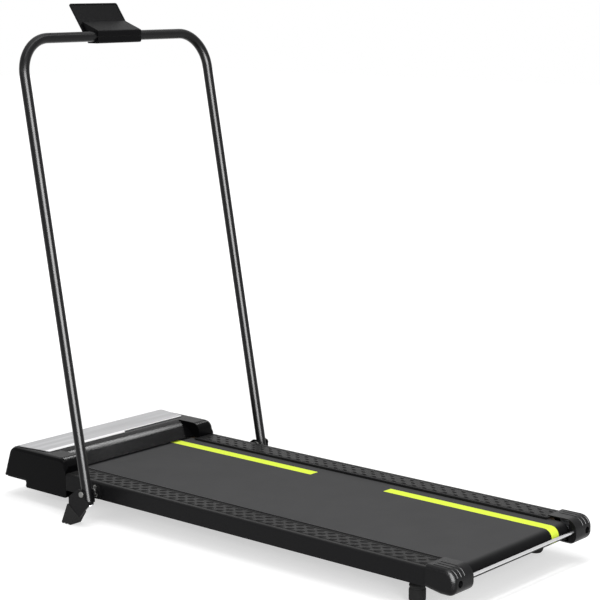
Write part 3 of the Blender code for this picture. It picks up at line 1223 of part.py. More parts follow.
def power_switch():
    """A bezel in the hood and the rocker that tips in it."""
    inner_wall = FRONT - HOOD_WALL - FIT
    centre = (SWITCH_X, SOCKET_Z)
    hole = rectangle(centre, ROCKER_HALF_X + FIT, ROCKER_RADIUS + 2 * FIT)
    bezel = sheet("switch_bezel", rectangle(centre, SWITCH_HALF_X, SWITCH_HALF_Z), "front",
                  FRONT - 0.014, FRONT - 0.0003, MOULDED, holes=[hole])
    flange = sheet("bezel_flange", rectangle(centre, SWITCH_HALF_X + 0.002, SWITCH_HALF_Z + 0.002), "front",
                   inner_wall - 0.0015, inner_wall, MOULDED,
                   holes=[rectangle(centre, ROCKER_HALF_X + 2 * FIT, ROCKER_RADIUS + 3 * FIT)],
                   collection=CUTTERS)
    join(bezel, flange)
    on_nose(bezel)
    pivot = Vector((SWITCH_X, FRONT - ROCKER_DEPTH, SOCKET_Z))
    tip_axis = axis_empty("rocker_axis", NOSE @ pivot)
    face = [(0.0036, -0.0038), (0.0030, 0.0), (0.0036, 0.0038)]
    outline = face + arc((0.0, 0.0), ROCKER_RADIUS, 60, 300, 12)
    low, high = SWITCH_X - ROCKER_HALF_X, SWITCH_X + ROCKER_HALF_X
    rocker = sheet("power_rocker", outline, "side", low, high, MOULDED)
    tilt = Matrix.Translation((0.0, pivot.y, pivot.z)) @ Matrix.Rotation(ROCKER_TILT, 4, "X")
    rocker.matrix_world = tilt @ rocker.matrix_world
    return ride(on_nose(rocker), tip_axis)


motor_hood()
hood_top_panel()
bottom_pan()
for side_name, side in SIDES:
    transport_wheel(side_name, side)
    wheel_fork(side_name, side)
power_inlet()
power_switch()


# Drive: motor on its bracket, ribbed pulleys and the ribbed belt between them
def motor_body():
    left, right, wide = MOTOR_LEFT_X, MOTOR_RIGHT_X, MOTOR_RADIUS
    bore = SHAFT_RADIUS + FIT
    profile = [(0.0, right - 0.020), (bore, right - 0.020), (bore, right), (0.016, right),
               (0.016, right - 0.004), (wide - 0.003, right - 0.006), (wide, right - 0.009),
               (wide, right - 0.022), (wide - 0.0015, right - 0.023), (wide - 0.0015, left + 0.023),
               (wide, left + 0.022), (wide, left + 0.009), (wide - 0.003, left + 0.006),
               (0.014, left + 0.004), (0.014, left), (0.0, left)]
    return turned("motor_body", profile, (0.0, MOTOR_Y, MOTOR_Z), FRAME_BLACK, steps=16)


def motor_bracket():
    """A base on the pan with two saddles under the motor."""
    rear, front = MOTOR_Y - 0.027, HOOD_NOSE_Y - 0.009
    base = PAN_TOP + FIT
    item = box("motor_bracket", (MOTOR_LEFT_X + 0.010, rear, base),
               (MOTOR_RIGHT_X - 0.010, front, base + 0.003), CAST)
    seat = arc((MOTOR_Y, MOTOR_Z), MOTOR_RADIUS + FIT, -40, -140, 10)
    low = base + 0.001
    outline = [(rear + 0.001, low), (front - 0.001, low), (HOOD_NOSE_Y - 0.002, NOSE_PAN_TOP + 0.0015),
               (MOTOR_Y + 0.026, NOSE_PAN_TOP + 0.005), (MOTOR_Y + 0.026, seat[0][1]),
               *seat, (rear + 0.001, seat[-1][1])]
    for number, near in enumerate((MOTOR_LEFT_X + 0.011, MOTOR_RIGHT_X - 0.016)):
        join(item, sheet(f"saddle_{number}", outline, "side", near, near + 0.005, CAST,
                         collection=CUTTERS))
    return item


def ribbed(radius, low):
    """The outer profile of a pulley's ribs, from its far side to its near side."""
    rim = 0.0006
    pitch = (PULLEY_WIDTH - 2 * rim) / PULLEY_RIBS
    points = [(radius, low + PULLEY_WIDTH)]
    for number in range(PULLEY_RIBS):
        top = low + PULLEY_WIDTH - rim - number * pitch
        points += [(radius, top), (radius - RIB_DEPTH, top - pitch / 2)]
    return points + [(radius, low + rim), (radius, low)]


def pulleys():
    bore = AXLE_RADIUS + FIT
    low = PULLEY_X
    hub_low = ROLLER_HALF + FIT
    profile = ribbed(ROLLER_PULLEY_RADIUS, low) + [
        (0.012, low), (0.012, hub_low), (bore, hub_low), (bore, low + PULLEY_WIDTH)]
    carrier = bpy.data.objects["front_roller_axis"]
    ride(turned("roller_pulley", profile, (0.0, FRONT_ROLLER_Y, ROLLER_Z), CAST, steps=20, closed=True),
         carrier)
    motor_axis = axis_empty("motor_axis", (0.0, MOTOR_Y, MOTOR_Z))
    bore = SHAFT_RADIUS + FIT
    profile = ribbed(MOTOR_PULLEY_RADIUS, low) + [(bore, low), (bore, low + PULLEY_WIDTH)]
    ride(turned("motor_pulley", profile, (0.0, MOTOR_Y, MOTOR_Z), CAST, steps=14, closed=True), motor_axis)
    shaft = rod("motor_shaft", (MOTOR_RIGHT_X - 0.0195, MOTOR_Y, MOTOR_Z),
                (low + PULLEY_WIDTH, MOTOR_Y, MOTOR_Z), SHAFT_RADIUS, BRIGHT)
    ride(shaft, motor_axis)


def drive_belt():
    """An endless belt on the two pulleys' outer tangents."""
    centres = Vector((FRONT_ROLLER_Y, ROLLER_Z)), Vector((MOTOR_Y, MOTOR_Z))
    between = centres[1] - centres[0]
    lean = math.degrees(math.atan2(between.y, between.x))
    loops = []
    for extra in (FIT + DRIVE_BELT_THICKNESS, FIT):
        large, small = ROLLER_PULLEY_RADIUS + extra, MOTOR_PULLEY_RADIUS + extra
        wrap = math.degrees(math.acos((large - small) / between.length))
        loops.append(arc(centres[0], large, lean + wrap, lean + 360 - wrap, 20)
                     + arc(centres[1], small, lean - wrap, lean + wrap, 10))
    low = PULLEY_X + (PULLEY_WIDTH - DRIVE_BELT_WIDTH) / 2
    return sheet("drive_belt", loops[0], "side", low, low + DRIVE_BELT_WIDTH, RUBBER, holes=[loops[1]])


# Control board on four posts, with its heat sink and capacitors
def control_board():
    left, right, rear, front = PCB_LEFT_X, PCB_RIGHT_X, PCB_REAR, PCB_FRONT
    item = box("control_board", (left, rear, PCB_Z), (right, front, PCB_Z + PCB_THICKNESS), CIRCUIT)
    posts = [(across, along, base) for across in (left + POST_INSET, right - POST_INSET)
             for along, base in ((rear + POST_INSET, PAN_TOP), (front - POST_INSET, NOSE_PAN_TOP))]
    for number, (across, along, base) in enumerate(posts):
        join(item, rod(f"board_post_{number}", (across, along, base + FIT), (across, along, PCB_Z + 0.0005),
                       POST_RADIUS, CIRCUIT, sides=6, collection=CUTTERS))
    face = PCB_Z + PCB_THICKNESS - 0.0005
    for number, (across, along, radius, height) in enumerate(CAPACITORS):
        foot = Vector((left + across, rear + along, face))
        join(item, rod(f"capacitor_{number}", foot, foot + Vector((0.0, 0.0, height)), radius, CIRCUIT,
                       sides=12, collection=CUTTERS))
    for number, (across, along, *size) in enumerate(CONNECTORS):
        corner = Vector((left + across, rear + along, face))
        join(item, box(f"connector_{number}", corner, corner + Vector(size), CIRCUIT, collection=CUTTERS))
    return item


def heat_sink():
    """An extruded sink: a base with upright fins."""
    low = PCB_Z + PCB_THICKNESS + FIT
    high = low + SINK_HEIGHT
    left = PCB_LEFT_X + SINK_SIDE_INSET
    front = PCB_FRONT - SINK_FRONT_GAP
    points = [(left, low), (left + SINK_PITCH * (SINK_FINS - 1) + SINK_FIN, low)]
    for number in reversed(range(SINK_FINS)):
        at = left + SINK_PITCH * number
        points += [(at + SINK_FIN, high), (at, high)]
        if number:
            points += [(at, low + SINK_BASE), (at - SINK_PITCH + SINK_FIN, low + SINK_BASE)]
    return sheet("heat_sink", points, "front", front - SINK_LENGTH, front, CAST)


motor_body()
motor_bracket()
pulleys()
drive_belt()
control_board()
heat_sink()
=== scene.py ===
# %% [markdown]
# # A folding walking treadmill
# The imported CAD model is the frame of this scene: every piece keeps the place that it has there.
# The cells below give it a camera, light and finishes, and add the small things that solids leave
# out, such as the moulded treads, the bolts and the bright stripe on the belt. Lengths are in
# metres, with Y along the deck towards the motor hood and Z up.

# %% Load the frame
import json
import math

import bmesh
import bpy
from mathutils import Matrix, Vector

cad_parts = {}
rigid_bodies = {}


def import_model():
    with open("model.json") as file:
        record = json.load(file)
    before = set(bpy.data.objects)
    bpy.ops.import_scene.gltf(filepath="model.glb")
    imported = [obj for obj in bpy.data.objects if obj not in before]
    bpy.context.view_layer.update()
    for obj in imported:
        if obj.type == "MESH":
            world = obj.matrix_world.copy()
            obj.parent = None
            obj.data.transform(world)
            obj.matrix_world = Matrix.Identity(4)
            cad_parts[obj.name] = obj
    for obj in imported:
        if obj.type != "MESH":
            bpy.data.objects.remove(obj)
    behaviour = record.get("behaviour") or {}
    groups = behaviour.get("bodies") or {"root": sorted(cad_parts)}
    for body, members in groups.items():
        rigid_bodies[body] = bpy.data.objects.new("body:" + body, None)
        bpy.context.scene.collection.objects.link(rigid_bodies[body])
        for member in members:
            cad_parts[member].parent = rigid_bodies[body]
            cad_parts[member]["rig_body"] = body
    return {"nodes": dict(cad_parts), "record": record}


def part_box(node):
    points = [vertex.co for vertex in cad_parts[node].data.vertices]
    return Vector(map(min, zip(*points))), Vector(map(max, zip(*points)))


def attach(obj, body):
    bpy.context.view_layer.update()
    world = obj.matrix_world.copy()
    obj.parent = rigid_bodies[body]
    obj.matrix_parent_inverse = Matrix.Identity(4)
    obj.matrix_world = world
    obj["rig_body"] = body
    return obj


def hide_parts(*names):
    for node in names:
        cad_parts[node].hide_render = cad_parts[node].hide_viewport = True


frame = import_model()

NODES = frame["nodes"]
SLOT_OF = {entry["node"]: entry["material_slot"] for entry in frame["record"]["subparts"]}
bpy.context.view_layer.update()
HANDS = (("left", -1), ("right", 1))
SCENE = bpy.context.scene

# %% [markdown]
# ## The camera
# The real picture was taken from the walker's rear left, from about the handrail's height, with a
# long lens. A long lens keeps the deck's four edges almost parallel. The lens is worked out from a
# focal length in pixels, for a square picture 600 pixels wide and a 36 mm sensor.

# %% Place the camera
PICTURE_WIDTH = 600
FOCAL_PIXELS = 1808.0
SENSOR_MM = 36.0
EYE = Vector((-2.788, -2.440, 1.149))
YAW = math.radians(49.44)
PITCH = math.radians(10.14)
CLIP_RANGE = (0.05, 60.0)

lens = bpy.data.cameras.new("camera")
lens.sensor_width = SENSOR_MM
lens.lens = FOCAL_PIXELS * SENSOR_MM / PICTURE_WIDTH
lens.clip_start, lens.clip_end = CLIP_RANGE
camera = bpy.data.objects.new("camera", lens)
looking = Vector((math.sin(YAW) * math.cos(PITCH), math.cos(YAW) * math.cos(PITCH), -math.sin(PITCH)))
camera.location = EYE
camera.rotation_euler = looking.to_track_quat("-Z", "Y").to_euler()
SCENE.collection.objects.link(camera)
SCENE.camera = camera
print("lens in mm:", round(lens.lens, 1))

# %% [markdown]
# ## The studio
# A product like this is shot on a white sweep. A brighter lamp would whiten the picture's ground,
# but it would also wash out the black parts. So the world is white for what the camera and shiny
# surfaces see, and dimmer for the light that it sheds.

# %% Whiten the world
WORLD_LIGHT = 0.40


def math_node(tree, operation, first, second):
    """A math node fed by sockets or numbers."""
    node = tree.nodes.new("ShaderNodeMath")
    node.operation = operation
    for socket, value in zip(node.inputs, (first, second)):
        if isinstance(value, (int, float)):
            socket.default_value = value
        else:
            tree.links.new(value, socket)
    return node.outputs[0]


def seen_only(tree):
    """1 for camera, glossy and transmission rays, 0 for the rays that carry light."""
    path = tree.nodes.new("ShaderNodeLightPath")
    shiny = math_node(tree, "MAXIMUM", path.outputs["Is Glossy Ray"], path.outputs["Is Transmission Ray"])
    return math_node(tree, "MAXIMUM", path.outputs["Is Camera Ray"], shiny)


def studio_world():
    """White to the camera and to reflections, grey to everything that it lights."""
    world = bpy.data.worlds.new("studio")
    SCENE.world = world
    world.use_nodes = True
    tree = world.node_tree
    background = tree.nodes["Background"]
    level = tree.nodes.new("ShaderNodeMapRange")
    level.inputs["To Min"].default_value = WORLD_LIGHT
    tree.links.new(seen_only(tree), level.inputs["Value"])
    tree.links.new(level.outputs["Result"], background.inputs["Strength"])
    background.inputs["Color"].default_value = (1.0, 1.0, 1.0, 1.0)


studio_world()
SCENE.view_settings.view_transform = "Standard"
print("the world sheds", WORLD_LIGHT, "of what it shows")

# %% [markdown]
# One wide box overhead lights the deck, a long narrow one hangs across it, a tall one stands beside
# the camera, and a long one hangs out to the left, for the left rail's side. Three bright cards only
# show in reflections: their mirror images are the long highlights down the round tubes, round the
# end caps' shoulders and along the hood's ridge. They are linked to those pieces further down.

# %% Hang the lamps
def soft_box(name, place, aim, size, power, mirrored_only=False):
    """A rectangular area lamp that faces a point; a mirrored one only shows in reflections."""
    lamp = bpy.data.lights.new(name, "AREA")
    lamp.shape = "RECTANGLE"
    lamp.size, lamp.size_y = size
    lamp.energy = power
    item = bpy.data.objects.new(name, lamp)
    item.location = place
    item.rotation_euler = (Vector(aim) - Vector(place)).to_track_quat("-Z", "Y").to_euler()
    item.visible_camera = False
    item.visible_diffuse = not mirrored_only
    SCENE.collection.objects.link(item)
    return item


# Each lamp: its place, the point that it faces, its size and its power in watts.
BOXES = {
    "overhead_box": ((-0.2, 0.0, 3.6), (-0.2, 0.0, 0.0), (3.2, 3.2), 40.0),
    "ridge_box": ((0.0, -0.35, 2.7), (0.0, 0.0, 0.1), (3.2, 0.40), 26.0),
    "camera_side_box": ((-1.75, -3.05, 1.05), (0.0, 0.2, 0.55), (1.10, 2.2), 66.0),
    "rail_box": ((-3.3, 0.1, 1.9), (0.0, 0.0, 0.1), (3.0, 0.5), 22.0),
}
MIRRORED_CARDS = {
    "tube_card": ((-1.42, -1.96, 0.95), (0.0, 0.39, 0.60), (2.2, 2.1), 640.0),
    "shoulder_card": ((-1.10, -1.45, 2.20), (-0.10, -0.40, 0.08), (1.8, 1.2), 300.0),
    "ridge_card": ((1.43, 1.01, 1.68), (0.0, 0.4655, 0.11), (0.9, 0.25), 30.0),
}
for name, values in BOXES.items():
    soft_box(name, *values)
CARDS = {name: soft_box(name, *values, mirrored_only=True) for name, values in MIRRORED_CARDS.items()}
print("lamps:", [lamp.name for lamp in bpy.data.lights])

# %% [markdown]
# ## The floor
# One wide plain plane. Lit white card still photographs a little grey, so the floor adds a glow of
# its own that only the camera and mirror-like surfaces see. Close to the deck the glow is weak, so
# the soft shadow stays. Further out it grows to full white, and the plane meets the world unseen.

# %% Lay the floor
FLOOR_HALF = 14.0
FLOOR_GREY = 0.62
FLOOR_GLOW_NEAR = 0.55
FLOOR_FADE_START = 1.1
FLOOR_FADE_END = 2.4


def new_finish(name):
    """A fresh material, its tree, its shader and its Object coordinates."""
    surface = bpy.data.materials.new(name)
    surface.use_nodes = True
    tree = surface.node_tree
    place = tree.nodes.new("ShaderNodeTexCoord").outputs["Object"]
    return surface, tree, tree.nodes["Principled BSDF"], place


def studio_floor():
    """A matt plane whose glow, seen only by the camera and by reflections, grows outwards."""
    work = bmesh.new()
    bmesh.ops.create_grid(work, x_segments=1, y_segments=1, size=FLOOR_HALF)
    mesh = bpy.data.meshes.new("floor")
    work.to_mesh(mesh)
    work.free()
    floor = bpy.data.objects.new("floor", mesh)
    SCENE.collection.objects.link(floor)
    surface, tree, shader, place = new_finish("floor_white")
    shader.inputs["Base Color"].default_value = (FLOOR_GREY, FLOOR_GREY, FLOOR_GREY, 1.0)
    shader.inputs["Roughness"].default_value = 1.0
    shader.inputs["Specular IOR Level"].default_value = 0.0
    distance = tree.nodes.new("ShaderNodeVectorMath")
    distance.operation = "LENGTH"
    tree.links.new(place, distance.inputs[0])
    fade = tree.nodes.new("ShaderNodeMapRange")
    fade.interpolation_type = "SMOOTHSTEP"
    for label, value in (("From Min", FLOOR_FADE_START), ("From Max", FLOOR_FADE_END),
                         ("To Min", FLOOR_GLOW_NEAR)):
        fade.inputs[label].default_value = value
    tree.links.new(distance.outputs["Value"], fade.inputs["Value"])
    glow = math_node(tree, "MULTIPLY", fade.outputs["Result"], seen_only(tree))
    shader.inputs["Emission Color"].default_value = (1.0, 1.0, 1.0, 1.0)
    tree.links.new(glow, shader.inputs["Emission Strength"])
    mesh.materials.append(surface)


studio_floor()
print("floor laid at z = 0")

# %% [markdown]
# ## Shared surface effects
# Several finishes share the same fine effects, so each effect is a node group with its own inputs.
# Node graphs could be wired by hand in the editor. Written out, they get long, so small helpers come
# first: each adds one node and hands back its output, and a chain of calls reads like a formula.

# %% Define the node helpers
def effect_group(name, inputs, outputs):
    """An empty shader group that takes a vector and numbers and gives numbers, and its end nodes."""
    group = bpy.data.node_groups.new(name, "ShaderNodeTree")
    group.interface.new_socket(name="Vector", in_out="INPUT", socket_type="NodeSocketVector")
    for label, value in inputs.items():
        socket = group.interface.new_socket(name=label, in_out="INPUT", socket_type="NodeSocketFloat")
        socket.default_value = value
    for label in outputs:
        group.interface.new_socket(name=label, in_out="OUTPUT", socket_type="NodeSocketFloat")
    return group, group.nodes.new("NodeGroupInput"), group.nodes.new("NodeGroupOutput")


def noise_node(tree, vector, scale, detail=3.0):
    """Noise between 0 and 1; the scale may be a socket."""
    node = tree.nodes.new("ShaderNodeTexNoise")
    node.inputs["Detail"].default_value = detail
    tree.links.new(vector, node.inputs["Vector"])
    if isinstance(scale, (int, float)):
        node.inputs["Scale"].default_value = scale
    else:
        tree.links.new(scale, node.inputs["Scale"])
    return node.outputs["Fac"]


def spread(tree, value, low, high):
    """Stretches a 0 to 1 value between two limits, which may be sockets."""
    node = tree.nodes.new("ShaderNodeMapRange")
    tree.links.new(value, node.inputs["Value"])
    for label, limit in (("To Min", low), ("To Max", high)):
        if isinstance(limit, (int, float)):
            node.inputs[label].default_value = limit
        else:
            tree.links.new(limit, node.inputs[label])
    return node.outputs["Result"]


def axes_of(tree, vector):
    """The X, Y and Z of a vector."""
    node = tree.nodes.new("ShaderNodeSeparateXYZ")
    tree.links.new(vector, node.inputs[0])
    return node.outputs


print("node helpers: effect_group, noise_node, spread, axes_of")

# %% [markdown]
# *grain* gives the tiny unevenness of moulded, painted or cast skin. *smudge* gives the slow cloudy
# change of gloss that handling leaves. *dust* gathers in specks on faces that look up, and also
# gives out how far a face looks up. Pictures of real surfaces could do this too, but noise needs no
# file, never repeats and stays sharp close up.

# %% Build the effect groups
COARSE_GRAIN = 0.13
GRAIN_TONES = (0.86, 1.14)
CLOUD_SCALE = 9.0
SPECK_SCALE = 55.0
UPWARD_SHARPNESS = 8.0


def build_grain():
    group, given, made = effect_group("grain", {"Scale": 900.0}, ("Height", "Tone"))
    fine = noise_node(group, given.outputs["Vector"], given.outputs["Scale"], 2.0)
    coarse_scale = math_node(group, "MULTIPLY", given.outputs["Scale"], COARSE_GRAIN)
    coarse = noise_node(group, given.outputs["Vector"], coarse_scale)
    group.links.new(fine, made.inputs["Height"])
    group.links.new(spread(group, coarse, *GRAIN_TONES), made.inputs["Tone"])
    return group


def build_smudge():
    group, given, made = effect_group("smudge", {"Low": 0.3, "High": 0.5}, ("Roughness",))
    clouds = noise_node(group, given.outputs["Vector"], CLOUD_SCALE, 5.0)
    cloudy = spread(group, clouds, given.outputs["Low"], given.outputs["High"])
    group.links.new(cloudy, made.inputs["Roughness"])
    return group


def build_dust():
    group, given, made = effect_group("dust", {"Amount": 0.1}, ("Mask", "Upward"))
    normal = group.nodes.new("ShaderNodeNewGeometry").outputs["Normal"]
    upward = math_node(group, "MAXIMUM", axes_of(group, normal)["Z"], 0.0)
    specks = noise_node(group, given.outputs["Vector"], SPECK_SCALE, 6.0)
    flat = math_node(group, "POWER", upward, UPWARD_SHARPNESS)
    fall = math_node(group, "MULTIPLY", flat, specks)
    group.links.new(flat, made.inputs["Upward"])
    group.links.new(math_node(group, "MULTIPLY", fall, given.outputs["Amount"]), made.inputs["Mask"])
    return group


GRAIN = build_grain()
SMUDGE = build_smudge()
DUST = build_dust()
print("effect groups:", [group.name for group in bpy.data.node_groups])

# %% [markdown]
# ## Finishes
# Each finish is one Principled shader. What varies over the surface comes from the groups; what is
# the same all over is written on the shader's own sockets. All patterns read Object coordinates,
# because every piece's object sits at the origin, so a pattern never slides.

# %% Define the material helpers
def use_group(tree, group, vector, **values):
    """One effect group in a material, with its values set."""
    node = tree.nodes.new("ShaderNodeGroup")
    node.node_tree = group
    tree.links.new(vector, node.inputs["Vector"])
    for label, value in values.items():
        node.inputs[label].default_value = value
    return node


def tinted(tree, colour, factor):
    """A colour made lighter and darker by a value around 1."""
    node = tree.nodes.new("ShaderNodeMix")
    node.data_type = "RGBA"
    node.blend_type = "MULTIPLY"
    node.inputs["Factor"].default_value = 1.0
    node.inputs["A"].default_value = (*colour, 1.0)
    tree.links.new(factor, node.inputs["B"])
    return node.outputs["Result"]


def blended(tree, mask, under, over):
    """Two colours mixed by a mask; under may be a socket."""
    node = tree.nodes.new("ShaderNodeMix")
    node.data_type = "RGBA"
    tree.links.new(mask, node.inputs["Factor"])
    for label, value in (("A", under), ("B", over)):
        if isinstance(value, tuple):
            node.inputs[label].default_value = (*value, 1.0)
        else:
            tree.links.new(value, node.inputs[label])
    return node.outputs["Result"]


def bumped(tree, height, strength, distance):
    """A normal that is tilted by a height pattern."""
    node = tree.nodes.new("ShaderNodeBump")
    node.inputs["Strength"].default_value = strength
    node.inputs["Distance"].default_value = distance
    tree.links.new(height, node.inputs["Height"])
    return node.outputs["Normal"]


def wire(tree, shader, colour, roughness, normal):
    """Links what varies over the surface to the shader."""
    for label, socket in (("Base Color", colour), ("Roughness", roughness), ("Normal", normal)):
        tree.links.new(socket, shader.inputs[label])


print("material helpers: use_group, tinted, blended, bumped, wire")

# %% [markdown]
# Most of the real pieces are black: a painted tube, moulded covers, folded steel, rubber feet. They
# differ in the fineness of their grain and in how sharply they mirror the lamps, so one recipe and a
# table of values write them all. The blacks are very deep, because the wide white lamps lift them.

# %% Write the plain finishes
DUST_TONE = (0.30, 0.29, 0.27)
GRAIN_DEPTH = 0.0004


def plain_finish(name, colour, rough, grain_scale, bump, metallic=0.0, specular=0.5, dust=0.0):
    """A finish with grain, a cloudy roughness and a little dust on top faces."""
    surface, tree, shader, place = new_finish(name)
    grain = use_group(tree, GRAIN, place, Scale=grain_scale)
    smudge = use_group(tree, SMUDGE, place, Low=rough[0], High=rough[1])
    base = tinted(tree, colour, grain.outputs["Tone"])
    if dust:
        dust_and_facing = use_group(tree, DUST, place, Amount=dust)
        base = blended(tree, dust_and_facing.outputs["Mask"], base, DUST_TONE)
    wire(tree, shader, base, smudge.outputs["Roughness"],
         bumped(tree, grain.outputs["Height"], bump, GRAIN_DEPTH))
    shader.inputs["Metallic"].default_value = metallic
    shader.inputs["Specular IOR Level"].default_value = specular
    return surface


# Each finish: its colour, its least and most roughness, its grain's scale and bump, and the rest.
PLAIN_FINISHES = {
    "gloss_black_paint": ((0.004, 0.004, 0.0045), (0.24, 0.32), 700.0, 0.05, {"specular": 0.14}),
    "satin_black_steel": ((0.006, 0.006, 0.0065), (0.34, 0.48), 1600.0, 0.25, {"specular": 0.07}),
    "moulded_black_plastic": ((0.004, 0.004, 0.0045), (0.24, 0.34), 2200.0, 0.18,
                              {"specular": 0.10, "dust": 0.01}),
    "hood_plastic": ((0.0025, 0.0025, 0.0028), (0.16, 0.24), 2200.0, 0.10,
                     {"specular": 0.04, "dust": 0.004}),
    "foot_rail_plastic": ((0.008, 0.008, 0.0085), (0.32, 0.46), 2400.0, 0.30,
                          {"specular": 0.06, "dust": 0.05}),
    "black_rubber": ((0.018, 0.018, 0.018), (0.60, 0.80), 1200.0, 0.40, {"specular": 0.12}),
    "bright_steel": ((0.40, 0.40, 0.41), (0.20, 0.32), 900.0, 0.05, {"metallic": 1.0}),
    "cast_aluminium": ((0.55, 0.56, 0.58), (0.34, 0.50), 800.0, 0.30, {"metallic": 1.0}),
    "console_plastic": ((0.003, 0.003, 0.0034), (0.30, 0.42), 2200.0, 0.18, {"specular": 0.04}),
    "zinc_bolt": ((0.17, 0.17, 0.165), (0.28, 0.40), 900.0, 0.10, {"metallic": 1.0}),
}
FINISHES = {name: plain_finish(name, *values, **rest) for name, (*values, rest) in PLAIN_FINISHES.items()}
print("plain finishes:", sorted(FINISHES))

# %% [markdown]
# ## The rear bar
# The thin bar between the end caps is plated steel. Its lower side is painted black as painted shade, so it
# reads as a bright line over a dark one. Two half-round pieces would do this as well, but they would meet in
# a seam. So one material does both, and the height of a point picks its side.

# %% Plate the bar's upper side and paint shade on its lower side
BAR_LOW, BAR_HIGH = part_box("rear_bar")
PAINTED_SHADE_SHARE = 0.40
BAR_SPLIT = BAR_LOW.z + PAINTED_SHADE_SHARE * (BAR_HIGH.z - BAR_LOW.z)
FINE_DEPTH = 0.0002


def plated_and_painted_shade_finish(name, colour, under):
    """Bright metal above the split and black painted shade below it."""
    surface, tree, shader, place = new_finish(name)
    above = math_node(tree, "GREATER_THAN", axes_of(tree, place)["Z"], BAR_SPLIT)
    grain = use_group(tree, GRAIN, place, Scale=900.0)
    smudge = use_group(tree, SMUDGE, place, Low=0.16, High=0.28)
    base = blended(tree, above, under, tinted(tree, colour, grain.outputs["Tone"]))
    wire(tree, shader, base, smudge.outputs["Roughness"],
         bumped(tree, grain.outputs["Height"], 0.04, FINE_DEPTH))
    tree.links.new(above, shader.inputs["Metallic"])
    shader.inputs["Specular IOR Level"].default_value = 0.06
    return surface


# The near black below the split is painted shade, not a coat on the bar.
FINISHES["plated_bar_painted_shade"] = plated_and_painted_shade_finish("plated_bar_painted_shade", (0.62, 0.62, 0.63), (0.004, 0.004, 0.004))
print("the bar is plated above", round(BAR_SPLIT, 4))

# %% [markdown]
# ## The brushed panel
# The hood's insert is a light sheet brushed along its length. Brushing is noise that is stretched many times
# along one axis: narrow streaks for the bump and some tone, and wider bands for more tone. Real scratches
# would take thousands of faces, and none would be seen. The near-white strip along the panel's rear edge is a
# painted highlight.

# %% Brush the panel
PANEL_GREY = (0.47, 0.47, 0.48)
STREAK_SCALE = (6.0, 900.0, 900.0)
BAND_SCALE = (3.0, 144.0, 144.0)
STREAK_TONES = (0.84, 1.10)
BAND_TONES = (0.62, 1.36)
EDGE_PAINTED_HIGHLIGHT = (0.92, 0.92, 0.93)
EDGE_WIDTH = 0.012


def stretched_noise(tree, place, scale, detail):
    """Noise that is drawn out along the axis with the smallest scale."""
    stretch = tree.nodes.new("ShaderNodeMapping")
    stretch.inputs["Scale"].default_value = scale
    tree.links.new(place, stretch.inputs["Vector"])
    return noise_node(tree, stretch.outputs["Vector"], 1.0, detail)


def brushed_finish(name, colour, rear_edge):
    """Brushed metal sheet, with a painted highlight on the strip behind the line rear_edge."""
    surface, tree, shader, place = new_finish(name)
    streaks = stretched_noise(tree, place, STREAK_SCALE, 4.0)
    bands = stretched_noise(tree, place, BAND_SCALE, 3.0)
    smudge = use_group(tree, SMUDGE, place, Low=0.30, High=0.40)
    tone = math_node(tree, "MULTIPLY", spread(tree, streaks, *STREAK_TONES), spread(tree, bands, *BAND_TONES))
    # The strip behind the rear edge is coloured near white as a painted highlight.
    edge = math_node(tree, "LESS_THAN", axes_of(tree, place)["Y"], rear_edge)
    base = blended(tree, edge, tinted(tree, colour, tone), EDGE_PAINTED_HIGHLIGHT)
    wire(tree, shader, base, smudge.outputs["Roughness"], bumped(tree, streaks, 0.12, FINE_DEPTH))
    shader.inputs["Metallic"].default_value = 0.6
    return surface


PANEL_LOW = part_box("hood_top_panel")[0]
FINISHES["brushed_silver_panel"] = brushed_finish("brushed_silver_panel", PANEL_GREY,
                                                  PANEL_LOW.y + EDGE_WIDTH)
print("brushed:", FINISHES["brushed_silver_panel"].name)

# %% [markdown]
# ## The belt
# A walking belt is a two-ply sheet with a fine woven grain pressed in its top. Its faces that look up are
# painted a lighter grey, which is painted light from above, while the part that wraps the rear roller stays
# near black, which is painted shade. One bright stripe runs near the right-hand edge in two lengths, and the
# rear length goes on round the roller. A thin sheet laid on the belt would leave a gap round the roller, so
# the stripe is a mask in the material: a window across the width, times windows along the length, down to the
# roller's lower part.

# %% Print the belt's stripe
STRIPE_X = 0.1315
STRIPE_HALF = 0.0128
STRIPE_RUNS = ((-0.70, -0.183), (0.018, 0.456))
STRIPE_LIME = (0.74, 0.90, 0.080)
STRIPE_LOWEST = 0.052
# The belt's near black stays on the roller wrap as painted shade; the grey below it is painted light.
BELT_BLACK = (0.008, 0.008, 0.0085)
BELT_PAINTED_LIGHT_GREY = (0.064, 0.064, 0.065)
BELT_WEAVE_SCALE = 620.0
BELT_WEAVE_DEPTH = 0.0003


def window(tree, value, low, high):
    """1 where a value lies between two limits, else 0."""
    above = math_node(tree, "GREATER_THAN", value, low)
    below = math_node(tree, "LESS_THAN", value, high)
    return math_node(tree, "MULTIPLY", above, below)


